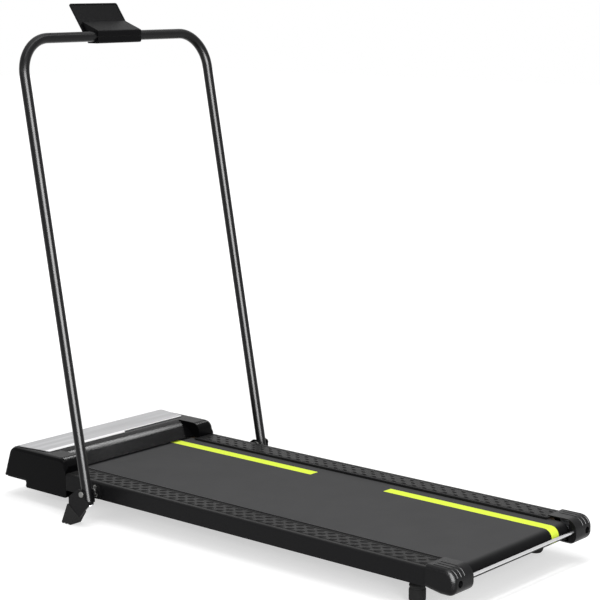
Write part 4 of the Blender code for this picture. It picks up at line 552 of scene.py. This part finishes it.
def belt_finish(name):
    """Woven grain, near black with painted light in grey on faces that look up, with the stripe's two
    lengths.
    """
    surface, tree, shader, place = new_finish(name)
    axes = axes_of(tree, place)
    along = math_node(tree, "MAXIMUM", *[window(tree, axes["Y"], low, high) for low, high in STRIPE_RUNS])
    across = window(tree, axes["X"], STRIPE_X - STRIPE_HALF, STRIPE_X + STRIPE_HALF)
    upper = math_node(tree, "GREATER_THAN", axes["Z"], STRIPE_LOWEST)
    stripe = math_node(tree, "MULTIPLY", math_node(tree, "MULTIPLY", along, across), upper)
    weave = tree.nodes.new("ShaderNodeTexVoronoi")
    weave.inputs["Scale"].default_value = BELT_WEAVE_SCALE
    tree.links.new(place, weave.inputs["Vector"])
    grain = use_group(tree, GRAIN, place, Scale=420.0)
    smudge = use_group(tree, SMUDGE, place, Low=0.62, High=0.78)
    dust_and_facing = use_group(tree, DUST, place, Amount=0.05)
    base = tinted(tree, BELT_BLACK, grain.outputs["Tone"])
    patches = spread(tree, noise_node(tree, place, 14.0), 0.86, 1.0)
    # Faces that look up are blended to the lighter grey: painted light from above, not wear.
    painted_light_top = math_node(tree, "MULTIPLY", dust_and_facing.outputs["Upward"], patches)
    base = blended(tree, painted_light_top, base, BELT_PAINTED_LIGHT_GREY)
    base = blended(tree, stripe, base, STRIPE_LIME)
    wire(tree, shader, base, smudge.outputs["Roughness"],
         bumped(tree, weave.outputs["Distance"], 0.30, BELT_WEAVE_DEPTH))
    shader.inputs["Specular IOR Level"].default_value = 0.03
    return surface


FINISHES["belt_grey"] = belt_finish("belt_grey")
print("stripe runs along the deck:", STRIPE_RUNS)

# %% [markdown]
# ## The board and the circuit
# The deck board is pressed fibre, seen only from below and at its ends: brown, with short fibres.
# The circuit board is green, with paler tracks that run square to each other. Both are hardly ever
# seen, so one noise and one brick pattern are enough.

# %% Finish the hidden boards
FIBRE_SCALE = (260.0, 40.0, 260.0)
FIBRE_DARK = (0.10, 0.065, 0.040)
FIBRE_LIGHT = (0.22, 0.155, 0.10)
FIBRE_DEPTH = 0.0003
TRACK_COLOURS = {"Color1": (0.010, 0.085, 0.035, 1.0), "Color2": (0.014, 0.110, 0.045, 1.0),
                 "Mortar": (0.05, 0.24, 0.10, 1.0)}


def board_finish(name):
    surface, tree, shader, place = new_finish(name)
    fibres = stretched_noise(tree, place, FIBRE_SCALE, 5.0)
    wire(tree, shader, blended(tree, fibres, FIBRE_DARK, FIBRE_LIGHT), spread(tree, fibres, 0.45, 0.70),
         bumped(tree, fibres, 0.15, FIBRE_DEPTH))
    return surface


def circuit_finish(name):
    surface, tree, shader, place = new_finish(name)
    tracks = tree.nodes.new("ShaderNodeTexBrick")
    tracks.inputs["Scale"].default_value = 60.0
    tracks.inputs["Mortar Size"].default_value = 0.06
    for label, colour in TRACK_COLOURS.items():
        tracks.inputs[label].default_value = colour
    tree.links.new(place, tracks.inputs["Vector"])
    smudge = use_group(tree, SMUDGE, place, Low=0.28, High=0.45)
    tree.links.new(tracks.outputs["Color"], shader.inputs["Base Color"])
    tree.links.new(smudge.outputs["Roughness"], shader.inputs["Roughness"])
    return surface


FINISHES["waxed_board"] = board_finish("waxed_board")
FINISHES["circuit_board_green"] = circuit_finish("circuit_board_green")
print("finishes in all:", len(FINISHES))

# %% [markdown]
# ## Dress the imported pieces
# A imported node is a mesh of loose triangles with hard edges. Real mouldings and folded sheets have
# small rounded edges, and those edges catch the light. So each visible node is copied, its doubles
# are merged, triangles that lie in one plane are dissolved, a bevel rounds its edges, and weighted
# normals keep the large faces flat. Remodelling every piece would do the same with far more code.
# These helpers settle a finished mesh on its body, round it and keep its flats.

# %% Define how a piece is settled and rounded
ROUNDING_SEGMENTS = 2
ROUNDING_ANGLE = math.radians(32.0)


def settle(name, work, slot_name, body, smooth_angle=35.0):
    """Turns a bmesh into a finished piece that rides on a body."""
    mesh = bpy.data.meshes.new(name)
    work.to_mesh(mesh)
    work.free()
    mesh.materials.append(FINISHES[slot_name])
    mesh.shade_smooth()
    mesh.set_sharp_from_angle(angle=math.radians(smooth_angle))
    piece = bpy.data.objects.new(name, mesh)
    SCENE.collection.objects.link(piece)
    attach(piece, body)
    return piece


def round_edges(piece, width):
    """A small even rounding on every edge that turns sharply enough."""
    bevel = piece.modifiers.new("rounded_edges", "BEVEL")
    bevel.width = width
    bevel.segments = ROUNDING_SEGMENTS
    bevel.limit_method = "ANGLE"
    bevel.angle_limit = ROUNDING_ANGLE
    bevel.use_clamp_overlap = True


def keep_flats(piece):
    """Large faces keep their own normal, and only the narrow roundings shade smoothly."""
    weigh = piece.modifiers.new("flat_faces_stay_flat", "WEIGHTED_NORMAL")
    weigh.weight = 100
    weigh.keep_sharp = True
    return piece


print("edges sharper than", round(math.degrees(ROUNDING_ANGLE)), "degrees get", ROUNDING_SEGMENTS, "facets")

# %% [markdown]
# The hood's lip turns down to the belt over one long soft ridge, which carries the brightest line on
# the black cover. A modifier would round it no wider than the other edges, so its edges are picked
# by place and length and bevelled on their own. After that, one helper makes the copy that stands
# for a node.

# %% Define how a node is copied
DOUBLES_APART = 0.000002
FLAT_WITHIN = math.radians(0.6)
HOOD_RIDGE = Vector((0.4655, 0.1105))
RIDGE_REACH = 0.0010
RIDGE_LENGTH = 0.3
RIDGE_ROUNDING = 0.0060


def round_ridge(work):
    """A wide rounding where the hood's lip turns down to the belt."""
    ridge = [edge for edge in work.edges if edge.calc_length() > RIDGE_LENGTH
             and all((vert.co.yz - HOOD_RIDGE).length < RIDGE_REACH for vert in edge.verts)]
    bmesh.ops.bevel(work, geom=ridge, offset=RIDGE_ROUNDING, offset_type="OFFSET", affect="EDGES",
                    segments=6, profile=0.5, material=-1)
    print("ridge edges rounded:", len(ridge))


def dressed(node, width):
    """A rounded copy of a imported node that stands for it."""
    source = NODES[node]
    work = bmesh.new()
    work.from_mesh(source.data)
    bmesh.ops.remove_doubles(work, verts=work.verts, dist=DOUBLES_APART)
    bmesh.ops.dissolve_limit(work, angle_limit=FLAT_WITHIN, verts=work.verts, edges=work.edges)
    if node == "motor_hood":
        round_ridge(work)
    piece = settle(f"{node}_dressed", work, SLOT_OF[node], source["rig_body"])
    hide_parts(node)
    if width:
        round_edges(piece, width)
    return keep_flats(piece)


print("the ridge is rounded by", RIDGE_ROUNDING, "m")

# %% [markdown]
# A thick moulding has a rounder edge than a folded sheet, so each visible node has a width of its
# own; 0 leaves its edges as they are. Nodes that are hidden inside keep their own mesh and get a
# finish. The tube and the end caps get pieces of their own further down.

# %% Dress the visible nodes
ROUNDED = {
    "motor_hood": 0.0010, "hood_top_panel": 0.0005, "console_block": 0.0010, "console_clamp": 0.0008,
    "device_plate": 0.0008, "running_belt": 0.0, "switch_bezel": 0.0005, "power_rocker": 0.0005,
    "power_inlet": 0.0004, "rear_bar": 0.0004, "bottom_pan": 0.0004,
    "rear_crossmember": 0.0003, "middle_crossmember": 0.0003, "front_crossmember": 0.0003,
}
PAIRED = {
    "foot_rail": 0.0004, "rear_foot": 0.0008, "front_shoe": 0.0012,
    "hinge_bracket": 0.0005, "hinge_fitting": 0.0007, "pivot_bolt": 0.0004, "side_frame": 0.0003,
    "transport_wheel": 0.0007, "wheel_fork": 0.0003, "tension_bolt": 0.0003,
}
for stem, width in PAIRED.items():
    for hand, _ in HANDS:
        ROUNDED[f"{stem}_{hand}"] = width
DRESSED = {node: dressed(node, width) for node, width in ROUNDED.items()}
DRESSED["rear_bar"].data.materials[0] = FINISHES["plated_bar_painted_shade"]
DRESSED["motor_hood"].data.materials[0] = FINISHES["hood_plastic"]
for hand, _ in HANDS:
    DRESSED[f"pivot_bolt_{hand}"].data.materials[0] = FINISHES["zinc_bolt"]
for node, item in NODES.items():
    if node not in DRESSED:
        item.data.materials.clear()
        item.data.materials.append(FINISHES[SLOT_OF[node]])
print("rounded copies:", len(DRESSED), "carried nodes:", len(NODES) - len(DRESSED))

# %% [markdown]
# ## The handrail tube
# The real tube is one length of steel, bent twice on a former. The mesh grows in the same way: a
# loop of edges is extruded along each straight length and spun round each bend. A curve with a
# round bevel could draw the tube too, but a curve's bend is only nearly a true arc.

# %% Define how a loop grows
BEND_STEPS = 16


def verts_of(parts):
    return [part for part in parts if isinstance(part, bmesh.types.BMVert)]


def edges_of(parts):
    return [part for part in parts if isinstance(part, bmesh.types.BMEdge)]


def extruded(work, edges, move):
    """Extrudes a loop of edges and moves the new loop."""
    grown = bmesh.ops.extrude_edge_only(work, edges=edges)["geom"]
    verts = verts_of(grown)
    bmesh.ops.translate(work, verts=verts, vec=move)
    return [edge for edge in edges_of(grown) if all(vert in verts for vert in edge.verts)]


def bent(work, edges, centre):
    """Spins a loop a quarter turn about +Y."""
    made = bmesh.ops.spin(work, geom=edges, cent=centre, axis=(0.0, 1.0, 0.0), angle=math.pi / 2,
                          steps=BEND_STEPS, use_merge=False)["geom_last"]
    return edges_of(made)


print("a bend takes", BEND_STEPS, "steps")

# %% [markdown]
# The tube starts as a circle at the foot of the left upright, and ends at the foot of the right one.
# A fine circle keeps the long highlight unbroken, and a short ring at each end keeps the cut end's
# shading from spreading up the straight length.

# %% Bend the handrail
TUBE_SIDES = 32
TUBE_RADIUS = 0.011
TUBE_WALL = 0.0015
TUBE_BEND = 0.078
TUBE_START = -0.0246
TUBE_END_RING = 0.002
TUBE_DOUBLES_APART = 0.00001
PIVOT = Vector((0.0, 0.3023, 0.0742))
BAR_CENTRE = Vector((0.0, 0.480, 1.021))
HALF_SPAN = 0.2766
UPRIGHT = (BAR_CENTRE - PIVOT).length
LEAN = math.atan2(BAR_CENTRE.y - PIVOT.y, BAR_CENTRE.z - PIVOT.z)


def handrail():
    """The whole tube, made upright along Z and then leant forward about the pivot."""
    work = bmesh.new()
    bmesh.ops.create_circle(work, segments=TUBE_SIDES, radius=TUBE_RADIUS,
                            matrix=Matrix.Translation((-HALF_SPAN, 0.0, TUBE_START)))
    straight = UPRIGHT - TUBE_BEND - TUBE_START - TUBE_END_RING
    loop = extruded(work, work.edges[:], (0.0, 0.0, TUBE_END_RING))
    loop = extruded(work, loop, (0.0, 0.0, straight))
    loop = bent(work, loop, (-HALF_SPAN + TUBE_BEND, 0.0, UPRIGHT - TUBE_BEND))
    loop = extruded(work, loop, (2 * (HALF_SPAN - TUBE_BEND), 0.0, 0.0))
    loop = bent(work, loop, (HALF_SPAN - TUBE_BEND, 0.0, UPRIGHT - TUBE_BEND))
    loop = extruded(work, loop, (0.0, 0.0, -straight))
    extruded(work, loop, (0.0, 0.0, -TUBE_END_RING))
    bmesh.ops.remove_doubles(work, verts=work.verts, dist=TUBE_DOUBLES_APART)
    leant = Matrix.Translation(PIVOT) @ Matrix.Rotation(-LEAN, 4, "X")
    bmesh.ops.transform(work, matrix=leant, verts=work.verts)
    bmesh.ops.recalc_face_normals(work, faces=work.faces)
    piece = settle("handrail_tube_bent", work, "gloss_black_paint", "handrail")
    wall = piece.modifiers.new("tube_wall", "SOLIDIFY")
    wall.thickness = TUBE_WALL
    wall.offset = -1.0
    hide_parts("handrail_tube")
    return piece


handrail_piece = handrail()
print("tube faces:", len(handrail_piece.data.polygons), "lean:", round(math.degrees(LEAN), 2))

# %% [markdown]
# ## The treads
# Each foot rail has rows of low slanted pads moulded on its top, so that a foot doesn't slip. One
# pad is a flattened ball, sunk in the rail's face and cut off below it. A bump in the material would
# look flat from low down, so the pads are real shapes. Three rows, set half a step apart, cover the
# rail.

# %% Mould the tread pads
PAD_STEP = 0.0270
PAD_HALF = Vector((0.0044, 0.0092, 0.0020))
PAD_SINK = 0.0004
PAD_CUT = 0.0012
PAD_SLANT = math.radians(32.0)
PAD_MARGIN = 0.012
PAD_SIDES = 12
PAD_SMOOTH = 60.0
PAD_ROWS = (0.0175, 0.0315, 0.0455)


def fill_holes(work, sides=0):
    """Closes the holes of up to that many sides, or with 0 of any size."""
    bmesh.ops.holes_fill(work, edges=[edge for edge in work.edges if edge.is_boundary], sides=sides)


def tread_pads(hand, side):
    """All pads of one rail in a single piece, and how many there are."""
    low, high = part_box(f"foot_rail_{hand}")
    inner = min(abs(low.x), abs(high.x))
    work = bmesh.new()
    count = int((high.y - low.y - PAD_MARGIN) / PAD_STEP)
    for row, across in enumerate(PAD_ROWS):
        for number in range(count):
            along = low.y + PAD_MARGIN + PAD_STEP * (number + 0.25 + 0.5 * (row % 2))
            place = (Matrix.Translation((side * (inner + across), along, high.z - PAD_SINK))
                     @ Matrix.Rotation(-side * PAD_SLANT, 4, "Z") @ Matrix.Diagonal((*PAD_HALF, 1.0)))
            bmesh.ops.create_uvsphere(work, u_segments=PAD_SIDES, v_segments=PAD_SIDES // 2, radius=1.0,
                                      matrix=place)
    bmesh.ops.bisect_plane(work, geom=work.verts[:] + work.edges[:] + work.faces[:],
                           plane_co=(0, 0, high.z - PAD_CUT), plane_no=(0, 0, -1), clear_outer=True)
    fill_holes(work, 2 * PAD_SIDES)
    piece = settle(f"tread_pads_{hand}", work, "foot_rail_plastic", "frame", PAD_SMOOTH)
    return piece, count * len(PAD_ROWS)


for hand, side in HANDS:
    pads, count = tread_pads(hand, side)
    print(pads.name, "pads:", count)

# %% [markdown]
# ## The dark bars along the rails' inner edges
# Along the belt each rail's inner edge carries a thin black round bar, which reads as a dark line beside the
# grey belt. It is painted shade, standing for the shadow along the rail's edge. Rounding the imported rail's
# own edge that far would change its top, so the bar runs along the edge, about half sunk in the rail and
# closed at both ends.

# %% Run the shade bars along the rails
SHADE_BAR_SIDES = 16
SHADE_BAR_RADIUS = 0.0022
SHADE_BAR_SHORTER = 0.0010
SHADE_BAR_INSET = 0.0002
SHADE_BAR_SINK = 0.0004


def rail_shade_bar(hand, side):
    """One thin black round bar along the inner edge of a rail's top, as painted shade."""
    low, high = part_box(f"foot_rail_{hand}")
    inner = min(abs(low.x), abs(high.x))
    place = (side * (inner + SHADE_BAR_RADIUS + SHADE_BAR_INSET), (low.y + high.y) / 2, high.z - SHADE_BAR_SINK)
    work = bmesh.new()
    bmesh.ops.create_cone(work, cap_ends=True, segments=SHADE_BAR_SIDES, radius1=SHADE_BAR_RADIUS,
                          radius2=SHADE_BAR_RADIUS, depth=high.y - low.y - SHADE_BAR_SHORTER,
                          matrix=Matrix.Translation(place) @ Matrix.Rotation(-math.pi / 2, 4, "X"))
    piece = settle(f"rail_lip_{hand}", work, "gloss_black_paint", "frame")
    return piece


for hand, side in HANDS:
    print(rail_shade_bar(hand, side).name)

# %% [markdown]
# ## The end caps
# Each rail ends in a deep moulded cap that turns down behind the belt's roller. Its side view is one
# face with five corners. The corners are rounded, the face is pushed out to the cap's width, and one
# bevel round the whole outer rim gives the broad shoulder that catches the light. The blank is longer
# than the cap and is cut off in front, so the shoulder runs on into the rail.

# %% Shape the cap's blank
CAP_TOP_RADIUS = 0.024
CAP_LOW_RADIUS = 0.018
CAP_KNEE_RADIUS = 0.020
CAP_KNEE = 0.034
CAP_FRONT_LIFT = 0.0055
CAP_SHOULDER = 0.011
CAP_CHAMFER = 0.004
CAP_SPARE = 0.030
CORNER_FACETS = 9
SHOULDER_FACETS = 6
ON_PLANE = 0.000001


def sliced(work, place, normal):
    """Cuts off what lies beyond a plane, and closes the cut."""
    bmesh.ops.bisect_plane(work, geom=work.verts[:] + work.edges[:] + work.faces[:], dist=ON_PLANE,
                           plane_co=place, plane_no=normal, clear_outer=True)
    fill_holes(work)
    bmesh.ops.recalc_face_normals(work, faces=work.faces)


def cap_blank(low, high, side, inner, outer):
    """The cap's whole outer form, solid."""
    knee = low.y + CAP_KNEE
    front = high.y + CAP_SPARE
    rise = CAP_FRONT_LIFT * (front - knee) / (high.y - knee)
    corners = [(Vector((side * inner, along, up)), radius) for along, up, radius in (
        (front, high.z, 0.0), (low.y, high.z, CAP_TOP_RADIUS), (low.y, low.z, CAP_LOW_RADIUS),
        (knee, low.z, CAP_KNEE_RADIUS), (front, low.z + rise, 0.0))]
    work = bmesh.new()
    work.faces.new([work.verts.new(place) for place, _ in corners])
    for number, (place, radius) in enumerate(corners):
        if radius:
            before, after = corners[number - 1][0], corners[number + 1][0]
            reach = radius / math.tan((before - place).angle(after - place) / 2)
            corner = min(work.verts, key=lambda vert: (vert.co - place).length)
            bmesh.ops.bevel(work, geom=[corner], offset=reach, offset_type="OFFSET", affect="VERTICES",
                            segments=CORNER_FACETS, profile=0.5, material=-1)
    grown = bmesh.ops.extrude_face_region(work, geom=work.faces[:], use_keep_orig=True)["geom"]
    bmesh.ops.translate(work, verts=verts_of(grown), vec=(side * (outer - inner), 0.0, 0.0))
    bmesh.ops.recalc_face_normals(work, faces=work.faces)
    rim = [edge for edge in work.edges
           if all(abs(vert.co.x - side * outer) < ON_PLANE for vert in edge.verts)]
    bmesh.ops.bevel(work, geom=rim, offset=CAP_SHOULDER, offset_type="OFFSET", affect="EDGES",
                    segments=SHOULDER_FACETS, profile=0.5, material=-1)
    sliced(work, (0.0, high.y, 0.0), (0.0, 1.0, 0.0))
    sliced(work, (side * inner, 0.0, low.z + CAP_CHAMFER), (-side, 0.0, -1.0))
    return work


print("cap corners are rounded by", CAP_TOP_RADIUS, CAP_LOW_RADIUS, CAP_KNEE_RADIUS)

# %% [markdown]
# What is cut out of the blank is made first, as solids of its own. The largest is the open pocket
# that goes over the roller's end. Its outer corners are rounded like the shoulder, so the wall stays
# even.

# %% Make the pocket's block
CAP_WALL = 0.0025
CAP_FLOOR_WALL = 0.0035
CAP_TAIL = 0.0175
POCKET_OVERRUN = 0.02
POCKET_FACETS = 5


def cap_pocket(work, low, high, side, inner, outer):
    """A block that comes out on the belt's side and in front, with rounded outer corners."""
    near, far = inner - POCKET_OVERRUN, outer - CAP_WALL
    corner_a = Vector((side * near, low.y + CAP_TAIL, low.z + CAP_FLOOR_WALL))
    corner_b = Vector((side * far, high.y + POCKET_OVERRUN, high.z - CAP_WALL))
    size = corner_b - corner_a
    size.x = abs(size.x)
    bmesh.ops.create_cube(work, size=1.0, matrix=Matrix.Translation((corner_a + corner_b) / 2)
                          @ Matrix.Diagonal((*size, 1.0)))
    edges = [edge for edge in work.edges
             if all(abs(vert.co.x - side * far) < ON_PLANE for vert in edge.verts)
             and abs(edge.verts[0].co.z - edge.verts[1].co.z) < ON_PLANE]
    bmesh.ops.bevel(work, geom=edges, offset=CAP_SHOULDER - CAP_WALL, offset_type="OFFSET",
                    affect="EDGES", segments=POCKET_FACETS, profile=0.5, material=-1)


print("wall beside the pocket:", CAP_WALL)

# %% [markdown]
# The real grooves are three shallow rounded flutes that run along the top and down over the rear.
# Each is cut by a round bar: a circle that is extruded along the top and spun down over the rear,
# with a ball at each end. A bump could draw them, but they would vanish from the cap's outline.

# %% Make the grooves' bars
CAP_GROOVES = (0.0130, 0.0240, 0.0350)
GROOVE_RADIUS = 0.0021
GROOVE_DEPTH = 0.0014
GROOVE_SHORT = 0.009
GROOVE_TURN = math.radians(66.0)
GROOVE_SIDES = 14
GROOVE_STEPS = 8
GROOVE_END_SHARE = 0.995


def cap_groove(work, low, high, across):
    """A round bar along the top and down over the rear, with ball ends."""
    up = high.z + GROOVE_RADIUS - GROOVE_DEPTH
    centre = Vector((across, low.y + CAP_TOP_RADIUS, high.z - CAP_TOP_RADIUS))
    start = Vector((across, high.y - GROOVE_SHORT, up))
    ring = bmesh.ops.create_circle(work, segments=GROOVE_SIDES, radius=GROOVE_RADIUS,
                                   matrix=Matrix.Translation(start) @ Matrix.Rotation(math.pi / 2, 4, "X"))
    loop = [edge for edge in work.edges if all(vert in ring["verts"] for vert in edge.verts)]
    loop = extruded(work, loop, (0.0, centre.y - start.y, 0.0))
    last = bmesh.ops.spin(work, geom=loop, cent=centre, axis=(1.0, 0.0, 0.0), angle=GROOVE_TURN,
                          steps=GROOVE_STEPS, use_merge=False)["geom_last"]
    fill_holes(work)
    tip = sum((vert.co for vert in verts_of(last)), Vector()) / GROOVE_SIDES
    for place in (start, tip):
        bmesh.ops.create_uvsphere(work, u_segments=GROOVE_SIDES, v_segments=8,
                                  radius=GROOVE_RADIUS * GROOVE_END_SHARE, matrix=Matrix.Translation(place))


print("grooves in each cap:", len(CAP_GROOVES), "deep by", GROOVE_DEPTH)

# %% [markdown]
# The last two are plain round holes: one reaches the tension bolt from the rear, and one seats the
# end of the rear bar. All the solids go into one mesh.

# %% Collect what is cut out
CAP_BOLT_RADIUS = 0.0070
BOLT_HOLE_OVERRUN = 0.006
CAP_BAR_SEAT = 0.0123
BAR_HOLE_LENGTH = 0.030
BAR_CLEARANCE = 0.0003
HOLE_SIDES = 24


def cap_cutter(hand, low, high, side, inner, outer):
    """All that is cut out of one cap: pocket, grooves, bolt hole and bar seat."""
    work = bmesh.new()
    cap_pocket(work, low, high, side, inner, outer)
    for inset in CAP_GROOVES:
        cap_groove(work, low, high, side * (outer - inset))
    bolt_low, bolt_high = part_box(f"tension_bolt_{hand}")
    bar_low, bar_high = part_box("rear_bar")
    bolt_place = (bolt_low + bolt_high) / 2
    bar_place = (bar_low + bar_high) / 2
    bolt_place.y = low.y + CAP_TAIL / 2
    bar_place.x = side * (inner + CAP_BAR_SEAT - BAR_HOLE_LENGTH / 2)
    bar_hole_radius = (bar_high.z - bar_low.z) / 2 + BAR_CLEARANCE
    for place, radius, depth, axis in ((bolt_place, CAP_BOLT_RADIUS, CAP_TAIL + BOLT_HOLE_OVERRUN, "X"),
                                       (bar_place, bar_hole_radius, BAR_HOLE_LENGTH, "Y")):
        bmesh.ops.create_cone(work, cap_ends=True, segments=HOLE_SIDES, radius1=radius, radius2=radius,
                              depth=depth, matrix=Matrix.Translation(place)
                              @ Matrix.Rotation(math.pi / 2, 4, axis))
    bmesh.ops.recalc_face_normals(work, faces=work.faces)
    return work


print("holes are cut with", HOLE_SIDES, "sides")

# %% [markdown]
# The real mould leaves all these hollows in one shot. Here one Boolean takes them away at once. Its
# exact solver allows for cutters that cross each other, so they needn't be joined first.

# %% Carve the end caps
CUT_DOUBLES_APART = 0.000005


def carved(blank, cutter):
    """Takes one bmesh out of another. Removing a helper's mesh removes its object too."""
    items = []
    for work in (blank, cutter):
        mesh = bpy.data.meshes.new("carving")
        work.to_mesh(mesh)
        work.free()
        items.append(bpy.data.objects.new("carving", mesh))
        SCENE.collection.objects.link(items[-1])
    step = items[0].modifiers.new("carve", "BOOLEAN")
    step.operation, step.solver, step.use_self, step.object = "DIFFERENCE", "EXACT", True, items[1]
    result = bmesh.new()
    result.from_object(items[0], bpy.context.evaluated_depsgraph_get())
    for item in items:
        bpy.data.meshes.remove(item.data)
    bmesh.ops.remove_doubles(result, verts=result.verts, dist=CUT_DOUBLES_APART)
    return result


def end_cap(hand, side):
    """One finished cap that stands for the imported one, and its count of open edges."""
    low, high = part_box(f"end_cap_{hand}")
    inner, outer = sorted((abs(low.x), abs(high.x)))
    blank = cap_blank(low, high, side, inner, outer)
    work = carved(blank, cap_cutter(hand, low, high, side, inner, outer))
    open_edges = sum(1 for edge in work.edges if not edge.is_manifold)
    piece = settle(f"end_cap_{hand}_moulded", work, "moulded_black_plastic", "frame")
    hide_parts(f"end_cap_{hand}")
    return keep_flats(piece), open_edges


for hand, side in HANDS:
    cap, open_edges = end_cap(hand, side)
    print(cap.name, "faces:", len(cap.data.polygons), "open edges:", open_edges)

# %% [markdown]
# ## Bolts on the hinges
# Each hinge bracket is held to its rail by three round-headed bolts with a sunk socket. A head is a
# disc that is extruded in three lifts, each narrower than the last, and the socket is the top face
# inset and pushed in. A bolt is so small that a finer socket would not be seen.

# %% Turn and place the bolts
HEAD_SIDES = 24
SHANK_SIDES = 16
BRACKET_BOLTS = ((0.3190, 0.0760), (0.3165, 0.0585), (0.3530, 0.0570))
BOLT_HEAD_RADIUS = 0.0044
BOLT_HEAD_HEIGHT = 0.0026
BOLT_RADIUS = 0.0028
BOLT_LENGTH = 0.0085
# Each lift of the head: how much narrower it gets, and its share of the height.
BOLT_HEAD_LIFTS = ((0.0, 0.6), (0.14, 0.25), (0.26, 0.15))
SOCKET_RIM = 0.14
SOCKET_DEPTH = 0.55
BRACKET_GAP = 0.0003
BRACKET_PLATE = 0.003


def bolt(work, place):
    """A domed head with a sunk socket, on a plain shank, along the place's own Z."""
    part = bmesh.new()
    bmesh.ops.create_circle(part, cap_ends=True, segments=HEAD_SIDES, radius=BOLT_HEAD_RADIUS)
    face = part.faces[:][0]
    for narrower, lift in BOLT_HEAD_LIFTS:
        face = bmesh.ops.extrude_discrete_faces(part, faces=[face])["faces"][0]
        bmesh.ops.translate(part, verts=face.verts[:], vec=(0.0, 0.0, BOLT_HEAD_HEIGHT * lift))
        centre = face.calc_center_median()
        for vert in face.verts:
            vert.co.xy = centre.xy + (vert.co.xy - centre.xy) * (1.0 - narrower)
    bmesh.ops.inset_region(part, faces=[face], thickness=BOLT_HEAD_RADIUS * SOCKET_RIM)
    face = bmesh.ops.extrude_discrete_faces(part, faces=[face])["faces"][0]
    bmesh.ops.translate(part, verts=face.verts[:], vec=(0.0, 0.0, -BOLT_HEAD_HEIGHT * SOCKET_DEPTH))
    bmesh.ops.create_cone(part, cap_ends=True, segments=SHANK_SIDES, radius1=BOLT_RADIUS,
                          radius2=BOLT_RADIUS, depth=BOLT_LENGTH,
                          matrix=Matrix.Translation((0.0, 0.0, -BOLT_LENGTH / 2)))
    bmesh.ops.transform(part, matrix=place, verts=part.verts)
    mesh = bpy.data.meshes.new("bolt")
    part.to_mesh(mesh)
    part.free()
    work.from_mesh(mesh)
    bpy.data.meshes.remove(mesh)


def facing(place, direction):
    """The placement whose own Z points in a direction."""
    return Matrix.Translation(place) @ Vector(direction).to_track_quat("Z", "Y").to_matrix().to_4x4()


def bracket_bolts(hand, side):
    """The three bolts of one bracket in a single piece."""
    low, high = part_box(f"foot_rail_{hand}")
    face_x = max(abs(low.x), abs(high.x)) + BRACKET_GAP + BRACKET_PLATE
    work = bmesh.new()
    for along, up in BRACKET_BOLTS:
        bolt(work, facing((side * face_x, along, up), (side, 0.0, 0.0)))
    piece = settle(f"bracket_bolts_{hand}", work, "zinc_bolt", "frame")
    return piece


for hand, side in HANDS:
    print(bracket_bolts(hand, side).name)

# %% [markdown]
# ## Aim the cards
# Cycles can link a lamp to the pieces that receive its light. Each card gets a small collection of
# the pieces whose highlight it draws, so it can't glare on the flat deck or the panel from any side.

# %% Link each card to its pieces
RECEIVERS = {
    "tube_card": ("handrail_tube_bent", "end_cap_left_moulded", "end_cap_right_moulded",
                  "hinge_fitting_left_dressed", "hinge_fitting_right_dressed",
                  "hinge_bracket_left_dressed", "hinge_bracket_right_dressed"),
    "shoulder_card": ("end_cap_left_moulded", "end_cap_right_moulded"),
    "ridge_card": ("motor_hood_dressed",),
}
for name, pieces in RECEIVERS.items():
    receivers = bpy.data.collections.new(f"{name}_receivers")
    for piece in pieces:
        receivers.objects.link(bpy.data.objects[piece])
    CARDS[name].light_linking.receiver_collection = receivers
